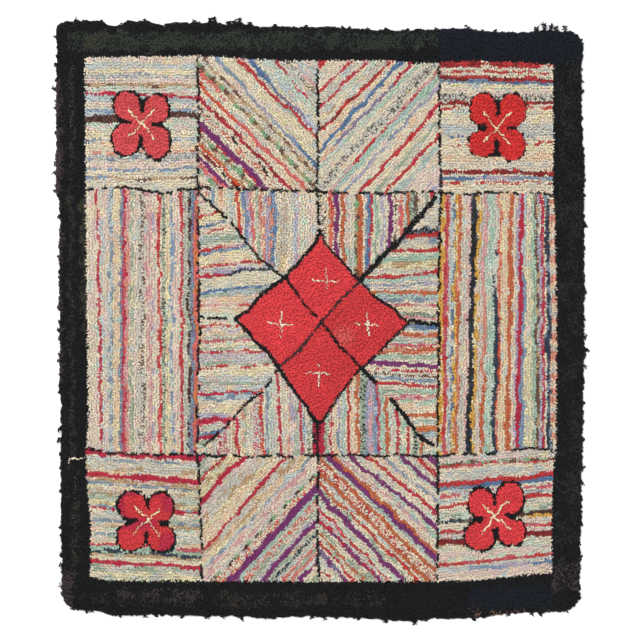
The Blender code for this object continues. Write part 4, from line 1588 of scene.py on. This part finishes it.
def tuft_piece(name: str, tufts: Tufts, material: bpy.types.Material) -> bpy.types.Object:
    """Turns tufts into one piece.

    Each tuft is a closed spindle of five vertices: along its heading e by its half length at the stations,
    across it by half its width at the sides, bent a little to one side, with its back at its full height a
    little off its middle, its sides a strand's depth below and its ends as given.

    Args:
        name: The piece's name.
        tufts: The tufts.
        material: Their material.

    Returns:
        The piece.
    """
    rng = np.random.default_rng(SEED + len(tufts.x))
    count = len(tufts.x)
    e = np.column_stack([np.cos(tufts.heading), np.sin(tufts.heading)])
    f = np.column_stack([-e[:, 1], e[:, 0]])
    along = STATIONS * tufts.length[:, None] / 2
    along[:, TOP] = rng.uniform(-BACK_SHIFT, BACK_SHIFT, count) * tufts.length
    bend = rng.normal(0.0, BEND, (count, 1)) * (1.0 - STATIONS ** 2)
    across = SIDES * tufts.width[:, None] / 2 + bend
    near, back, far = tufts.heights.T
    side = np.maximum(LEAST_SIDE, back - STRAND_DEPTH)
    z = np.column_stack([near, far, side, side, back])
    flat = np.stack([tufts.x, tufts.y], axis=1)[:, None, :]
    flat = flat + along[:, :, None] * e[:, None, :] + across[:, :, None] * f[:, None, :]
    places = np.concatenate([flat + np.array(PLAN_SHIFT), z[:, :, None]], axis=2).reshape(-1, 3) * MM
    faces = (TRIANGLES[None] + len(STATIONS) * np.arange(count)[:, None, None]).reshape(-1, 3)
    mesh = mesh_from(name, places, faces)
    columns = math.ceil(math.sqrt(count))
    cell = np.column_stack([np.arange(count) % columns, np.arange(count) // columns])
    corners = (cell[:, None, None, :] + MAP_MARGIN + (1.0 - 2.0 * MAP_MARGIN) * CORNER_MAP[None]) / columns
    paint(mesh, tuft_colours(tufts, rng), corners.reshape(-1, 2))
    return add_piece(name, mesh, material)


@dataclass
class HookedGround:
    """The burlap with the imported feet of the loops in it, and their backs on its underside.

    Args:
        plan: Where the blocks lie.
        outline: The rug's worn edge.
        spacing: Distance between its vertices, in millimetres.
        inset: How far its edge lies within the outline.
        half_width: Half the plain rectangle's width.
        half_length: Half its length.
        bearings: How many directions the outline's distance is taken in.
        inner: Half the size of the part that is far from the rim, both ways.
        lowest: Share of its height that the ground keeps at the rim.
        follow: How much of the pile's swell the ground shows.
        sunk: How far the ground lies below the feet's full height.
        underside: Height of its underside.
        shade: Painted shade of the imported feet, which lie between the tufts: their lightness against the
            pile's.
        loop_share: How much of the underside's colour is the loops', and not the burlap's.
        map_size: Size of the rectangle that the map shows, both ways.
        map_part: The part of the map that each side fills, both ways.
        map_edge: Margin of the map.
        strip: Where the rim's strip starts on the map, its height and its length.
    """

    plan: RugPlan
    outline: Outline
    spacing: float = 7.0
    inset: float = 2.0
    half_width: float = 525.0
    half_length: float = 590.0
    bearings: int = 2881
    inner: tuple[float, float] = (490.0, 550.0)
    lowest: float = 0.45
    follow: float = 0.5
    sunk: float = 0.5
    underside: float = 0.15
    shade: float = 0.92
    loop_share: float = 0.7
    map_size: tuple[float, float] = (1100.0, 1250.0)
    map_part: tuple[float, float] = (0.48, 0.94)
    map_edge: float = 0.01
    strip: tuple[float, float, float] = (0.97, 0.02, 0.98)

    def build(self, material: bpy.types.Material) -> bpy.types.Object:
        """Makes the sheet.

        A lattice over the plain rectangle is drawn in or out from its middle so that its rim meets the
        worn outline, once for the top and once for the underside, and the two are joined at the rim.

        Args:
            material: Its material.

        Returns:
            The sheet's piece.
        """
        columns = round(2 * self.half_width / self.spacing) + 1
        rows = round(2 * self.half_length / self.spacing) + 1
        gx, gy = np.meshgrid(
            np.linspace(-self.half_width, self.half_width, columns),
            np.linspace(-self.half_length, self.half_length, rows),
        )
        x, y = self.drawn_to_outline(gx.ravel(), gy.ravel())
        index = np.arange(columns * rows).reshape(rows, columns)
        quads = np.stack([index[:-1, :-1], index[:-1, 1:], index[1:, 1:], index[1:, :-1]], axis=-1)
        quads = quads.reshape(-1, 4)
        rim = np.concatenate([index[0, :-1], index[:-1, -1], index[-1, :0:-1], index[:0:-1, 0]])
        below = columns * rows
        wall = np.column_stack([np.roll(rim, -1), rim, rim + below, np.roll(rim, -1) + below])
        flat = np.column_stack([x, y]) + np.array(PLAN_SHIFT)
        top = np.column_stack([flat, self.top_height(x, y)])
        underside = np.column_stack([flat, np.full(len(x), self.underside)])
        faces = np.vstack([quads, quads[:, ::-1] + below, wall])
        mesh = mesh_from("hooked_ground", np.vstack([top, underside]) * MM, faces)
        region = self.plan.regions(x, y)
        colours = WOOL_COLOURS[self.plan.wools(x, y, region, np.random.default_rng(SEED + 1))]
        under = self.loop_share * colours + (1.0 - self.loop_share) * np.array(linear(Wool.BURLAP))
        corners = np.vstack([self.side_map(x, y)[faces[:-len(rim)]].reshape(-1, 2), self.rim_map(len(rim))])
        # Painted shade: the top's colours are darkened because the ground lies in shade between the tufts
        paint(mesh, np.vstack([colours * self.shade, under]), corners)
        return add_piece("hooked_ground", mesh, material)

    def side_map(self, x: np.ndarray, y: np.ndarray) -> np.ndarray:
        """Places of the sheet's vertices on the map: the top's on its left and the underside's on its right.

        Args:
            x: Plan places across the rug.
            y: Plan places along the rug.

        Returns:
            Places from 0 to 1, the top's rows first.
        """
        width, length = self.map_size
        share = np.column_stack([(x + width / 2) / width, (y + length / 2) / length]) * self.map_part
        return np.vstack([share + self.map_edge, share + (0.5 + self.map_edge, self.map_edge)])

    def rim_map(self, count: int) -> np.ndarray:
        """Places of the rim's face corners on the map: a strip above both sides, cut into equal steps.

        Args:
            count: How many faces the rim has.

        Returns:
            Places from 0 to 1, four rows a face.
        """
        start, height, length = self.strip
        here = np.column_stack([np.arange(count) / count * length, np.full(count, start)])
        ahead = here + (length / count, 0.0)
        drop = np.array((0.0, height))
        return np.stack([ahead + drop, here + drop, here, ahead], axis=1).reshape(-1, 2)

    def drawn_to_outline(self, x: np.ndarray, y: np.ndarray) -> tuple[np.ndarray, np.ndarray]:
        """Moves places of the plain rectangle so that its rim meets the outline.

        Args:
            x: Places across the rectangle.
            y: Places along it.

        Returns:
            Plan places.
        """
        bearing = np.arctan2(y, x)
        edge = np.minimum(
            self.half_width / np.maximum(np.abs(np.cos(bearing)), TINY),
            self.half_length / np.maximum(np.abs(np.sin(bearing)), TINY),
        )
        turns = np.linspace(-math.pi, math.pi, self.bearings)
        reach = np.interp(bearing, turns, self.outline.reach(turns)) - self.inset
        return x * reach / edge, y * reach / edge

    def top_height(self, x: np.ndarray, y: np.ndarray) -> np.ndarray:
        """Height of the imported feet, which follow the pile's swell and fall off at the rim.

        Args:
            x: Plan places across the rug.
            y: Plan places along the rug.

        Returns:
            Heights in millimetres.
        """
        depth = self.outline.depth(x, y, self.inner)
        rounding = self.lowest + (1.0 - self.lowest) * np.clip(depth / RIM_FALL, 0.0, 1.0)
        return BED_HEIGHT * rounding - self.sunk + self.follow * pile_swell(x, y)


@dataclass(frozen=True)
class Finish:
    """A textile's surface.

    Args:
        name: The material's name.
        roughness: Its roughness.
        sheen: Weight of its sheen.
        fibre_mm: Width of a fibre bundle.
        fibre_tone_and_shade: How much the fibres vary its colour, as random tone and as painted shade where
            their relief is low.
        bump_mm: Height of their relief.
        thread_mm: Distance between woven threads, or nought where none shows.
        sheen_roughness: Roughness of its sheen.
        gloss: Its specular level, low for a dry fibre.
        fibre_detail: Octaves of the fibres' noise.
        thread_waver: How far the threads waver.
        bump_strength: How strongly the relief shows.
    """

    name: str
    roughness: float
    sheen: float
    fibre_mm: float
    fibre_tone_and_shade: float
    bump_mm: float
    thread_mm: float = 0.0
    sheen_roughness: float = 0.6
    gloss: float = 0.1
    fibre_detail: float = 2.0
    thread_waver: float = 0.6
    bump_strength: float = 0.6


# Matt dyed wool flannel cut in strips: no gloss at all, a faint bloom, and fine felted fibres
WOOL_FINISH = Finish("dyed_wool_flannel_strips", 0.95, 0.03, 1.1, 0.14, 0.3)
# Jute burlap with the flat backs of the loops: dry and dull, with threads showing both ways
BURLAP_FINISH = Finish("jute_burlap_hooked_with_wool", 0.97, 0.0, 1.4, 0.16, 0.3, 2.1)


def add_node(
    tree: bpy.types.NodeTree, kind: str, settings: dict[str, object] | None = None,
    inputs: dict[str, object] | None = None,
) -> bpy.types.Node:
    """Adds a node with its settings, values and links.

    Args:
        tree: The material's tree.
        kind: The node's type.
        settings: Its properties.
        inputs: A value or an output socket for each named input.

    Returns:
        The node.
    """
    made = tree.nodes.new(kind)
    for name, value in (settings or {}).items():
        setattr(made, name, value)
    for name, value in (inputs or {}).items():
        if isinstance(value, bpy.types.NodeSocket):
            tree.links.new(value, made.inputs[name])
        else:
            made.inputs[name].default_value = value
    return made


def textile(finish: Finish) -> bpy.types.Material:
    """Makes a textile that takes its colour from the wool_colour attribute.

    Noise in object coordinates, one cell a fibre bundle, raises the fibres and varies the colour with them,
    as random tone and as painted shade where the relief is low. Where threads show, two sine waves at right
    angles are multiplied into the relief.

    Args:
        finish: The surface.

    Returns:
        The material.
    """
    material = bpy.data.materials.new(finish.name)
    material.use_nodes = True
    tree = material.node_tree
    principled = tree.nodes["Principled BSDF"]
    principled.inputs["Roughness"].default_value = finish.roughness
    principled.inputs["Sheen Weight"].default_value = finish.sheen
    principled.inputs["Sheen Roughness"].default_value = finish.sheen_roughness
    principled.inputs["Specular IOR Level"].default_value = finish.gloss
    dye = add_node(tree, "ShaderNodeAttribute", {"attribute_name": "wool_colour"})
    place = add_node(tree, "ShaderNodeTexCoord")
    fibres = add_node(tree, "ShaderNodeTexNoise", {}, {
        "Vector": place.outputs["Object"], "Scale": 1.0 / (finish.fibre_mm * MM),
        "Detail": finish.fibre_detail,
    })
    relief = fibres.outputs["Fac"]
    for axis in ("X", "Y") if finish.thread_mm else ():
        # A wave texture's bands are pi / (10 scale) apart
        threads = add_node(tree, "ShaderNodeTexWave", {"bands_direction": axis}, {
            "Vector": place.outputs["Object"], "Scale": math.pi / (10.0 * finish.thread_mm * MM),
            "Distortion": finish.thread_waver,
        })
        relief = add_node(tree, "ShaderNodeMath", {"operation": "MULTIPLY"}).outputs[0]
        relief.node.inputs[1].default_value = 1.0
        tree.links.new(threads.outputs["Fac"], relief.node.inputs[0])
        tree.links.new(fibres.outputs["Fac"], relief.node.inputs[1])
    # Colour follows the relief: random fibre tone, and painted shade where the fibres and threads lie low
    shade = add_node(tree, "ShaderNodeMapRange", {}, {
        "Value": relief, "To Min": 1.0 - finish.fibre_tone_and_shade, "To Max": 1.0 + finish.fibre_tone_and_shade,
    })
    tint = add_node(tree, "ShaderNodeVectorMath", {"operation": "SCALE"}, {
        "Vector": dye.outputs["Color"], "Scale": shade.outputs["Result"],
    })
    bump = add_node(tree, "ShaderNodeBump", {}, {
        "Height": relief, "Strength": finish.bump_strength, "Distance": finish.bump_mm * MM,
    })
    tree.links.new(tint.outputs["Vector"], principled.inputs["Base Color"])
    tree.links.new(bump.outputs["Normal"], principled.inputs["Normal"])
    return material


@dataclass(frozen=True)
class Softbox:
    """A square light that faces the rug.

    Args:
        name: Its name.
        place: Where it hangs, in metres.
        size: Its side in metres.
        power: Its power in watts.
    """

    name: str
    place: tuple[float, float, float]
    size: float
    power: float


@dataclass
class Studio:
    """Pale floor, soft light and the camera straight above. Lengths are in metres.

    Args:
        floor_half: Half the floor's side.
        paper: The floor's grey, as a linear value.
        softboxes: The lights, the stronger one at the top left.
        room_light: Strength of the white light from all round.
        camera_height: The camera's height over the floor.
        width_seen: Width of what it sees on the floor.
        camera_shift: Its place off the plan's middle, both ways.
        film_mm: Width of its film.
        sight: How far it sees.
    """

    floor_half: float = 6.0
    paper: float = 0.93
    softboxes: tuple[Softbox, ...] = (
        Softbox("key_softbox", (-1.9, 1.6, 2.6), 2.2, 120.0),
        Softbox("fill_softbox", (1.8, -1.4, 2.8), 2.6, 70.0),
    )
    room_light: float = 0.65
    camera_height: float = 3.6
    width_seen: float = 1.283
    camera_shift: float = -0.001
    film_mm: float = 36.0
    sight: float = 30.0

    def __post_init__(self) -> None:
        """Works in the open scene."""
        self.scene = bpy.context.scene

    def floor(self) -> None:
        """Lays a pale floor under the rug."""
        half = self.floor_half
        corners = np.array([(-half, -half, 0), (half, -half, 0), (half, half, 0), (-half, half, 0)], float)
        mesh = mesh_from("studio_floor", corners, np.array([(0, 1, 2, 3)]))
        # Matt seamless paper, which only bounces soft light back
        material = bpy.data.materials.new("matt_white_paper")
        material.use_nodes = True
        principled = material.node_tree.nodes["Principled BSDF"]
        principled.inputs["Base Color"].default_value = (self.paper, self.paper, self.paper, 1.0)
        principled.inputs["Roughness"].default_value = 1.0
        principled.inputs["Specular IOR Level"].default_value = 0.0
        mesh.materials.append(material)
        sheet = bpy.data.objects.new("studio_floor", mesh)
        self.scene.collection.objects.link(sheet)
        sheet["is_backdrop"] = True

    def light(self, softbox: Softbox) -> None:
        """Hangs a softbox, turned from straight down by its bearing and its angle from the upright.

        Args:
            softbox: The softbox.
        """
        lamp = bpy.data.lights.new(softbox.name, "AREA")
        lamp.shape = "SQUARE"
        lamp.size = softbox.size
        lamp.energy = softbox.power
        holder = bpy.data.objects.new(softbox.name, lamp)
        holder.location = softbox.place
        away = np.array(softbox.place) / np.linalg.norm(softbox.place)
        holder.rotation_euler = (math.acos(away[2]), 0.0, math.atan2(away[1], away[0]) + math.pi / 2)
        self.scene.collection.objects.link(holder)

    def lights(self) -> None:
        """Lights the rug softly from above and from all round."""
        for softbox in self.softboxes:
            self.light(softbox)
        world = bpy.data.worlds.new("white_room")
        world.use_nodes = True
        world.node_tree.nodes["Background"].inputs["Color"].default_value = (1.0, 1.0, 1.0, 1.0)
        world.node_tree.nodes["Background"].inputs["Strength"].default_value = self.room_light
        self.scene.world = world

    def camera(self) -> None:
        """Looks straight down with the rug as large in the picture as in the photo."""
        data = bpy.data.cameras.new("overhead_camera")
        data.sensor_width = self.film_mm
        data.lens = data.sensor_width * self.camera_height / self.width_seen
        data.clip_end = self.sight
        eye = bpy.data.objects.new("overhead_camera", data)
        middle = [shift * MM + self.camera_shift for shift in PLAN_SHIFT]
        eye.location = (*middle, self.camera_height)
        self.scene.collection.objects.link(eye)
        self.scene.camera = eye
        self.scene.view_settings.view_transform = "Standard"


def note_bounds(sizes: dict[str, list[list[float]]], name: str) -> None:
    """Adds the shown object's corners to the sizes as plain numbers."""
    low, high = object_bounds()
    sizes[name] = [[float(c) for c in low], [float(c) for c in high]]


def pile_pieces(pile: Pile, wool: bpy.types.Material) -> list[bpy.types.Object]:
    """Hooks the whole pile and parts it into pieces by the kind of block.

    Args:
        pile: The hooker.
        wool: The wool's material.

    Returns:
        The pieces.
    """
    lines, marks = pile.lines(), pile.cream_marks()
    tufts, blocks = pile.block_rows()
    tufts, blocks = pile.clear_of(tufts, blocks, Tufts.joined([lines, marks]))
    kinds = {
        "corner_square_pile": "square", "side_panel_pile": "panel", "slanted_panel_pile": "middle",
        "centre_sector_pile": "sector",
    }
    pieces = [tuft_piece("border_pile", pile.lower_rim(tufts.pick(blocks == BORDER)), wool)]
    for name, word in kinds.items():
        chosen = np.isin(blocks, [i for i, panel in enumerate(PANEL_NAMES) if word in panel])
        pieces.append(tuft_piece(name, tufts.pick(chosen), wool))
    motifs = tufts.pick(np.isin(blocks, (DIAMOND, FLOWER, FLOWER_EDGE)))
    pieces.append(tuft_piece("red_motif_pile", motifs, wool))
    pieces.append(tuft_piece("black_line_pile", lines, wool))
    pieces.append(tuft_piece("cream_mark_pile", marks, wool))
    pieces.append(tuft_piece("field_edge_pile", pile.edge_spikes(), wool))
    return pieces + [tuft_piece("rim_strands", pile.rim_strands(), wool)]


def main() -> None:
    """Builds the rug over the frame and sets it in the studio."""
    sizes: dict[str, list[list[float]]] = {}
    note_bounds(sizes, "cad_box")
    plan, outline = RugPlan(), Outline(NODE)
    ground = HookedGround(plan, outline).build(textile(BURLAP_FINISH))
    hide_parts(NODE)
    pieces = pile_pieces(Pile(plan, outline), textile(WOOL_FINISH))
    studio = Studio()
    studio.floor()
    studio.lights()
    studio.camera()
    note_bounds(sizes, "visual_box")


if __name__ == "__main__":
    main()
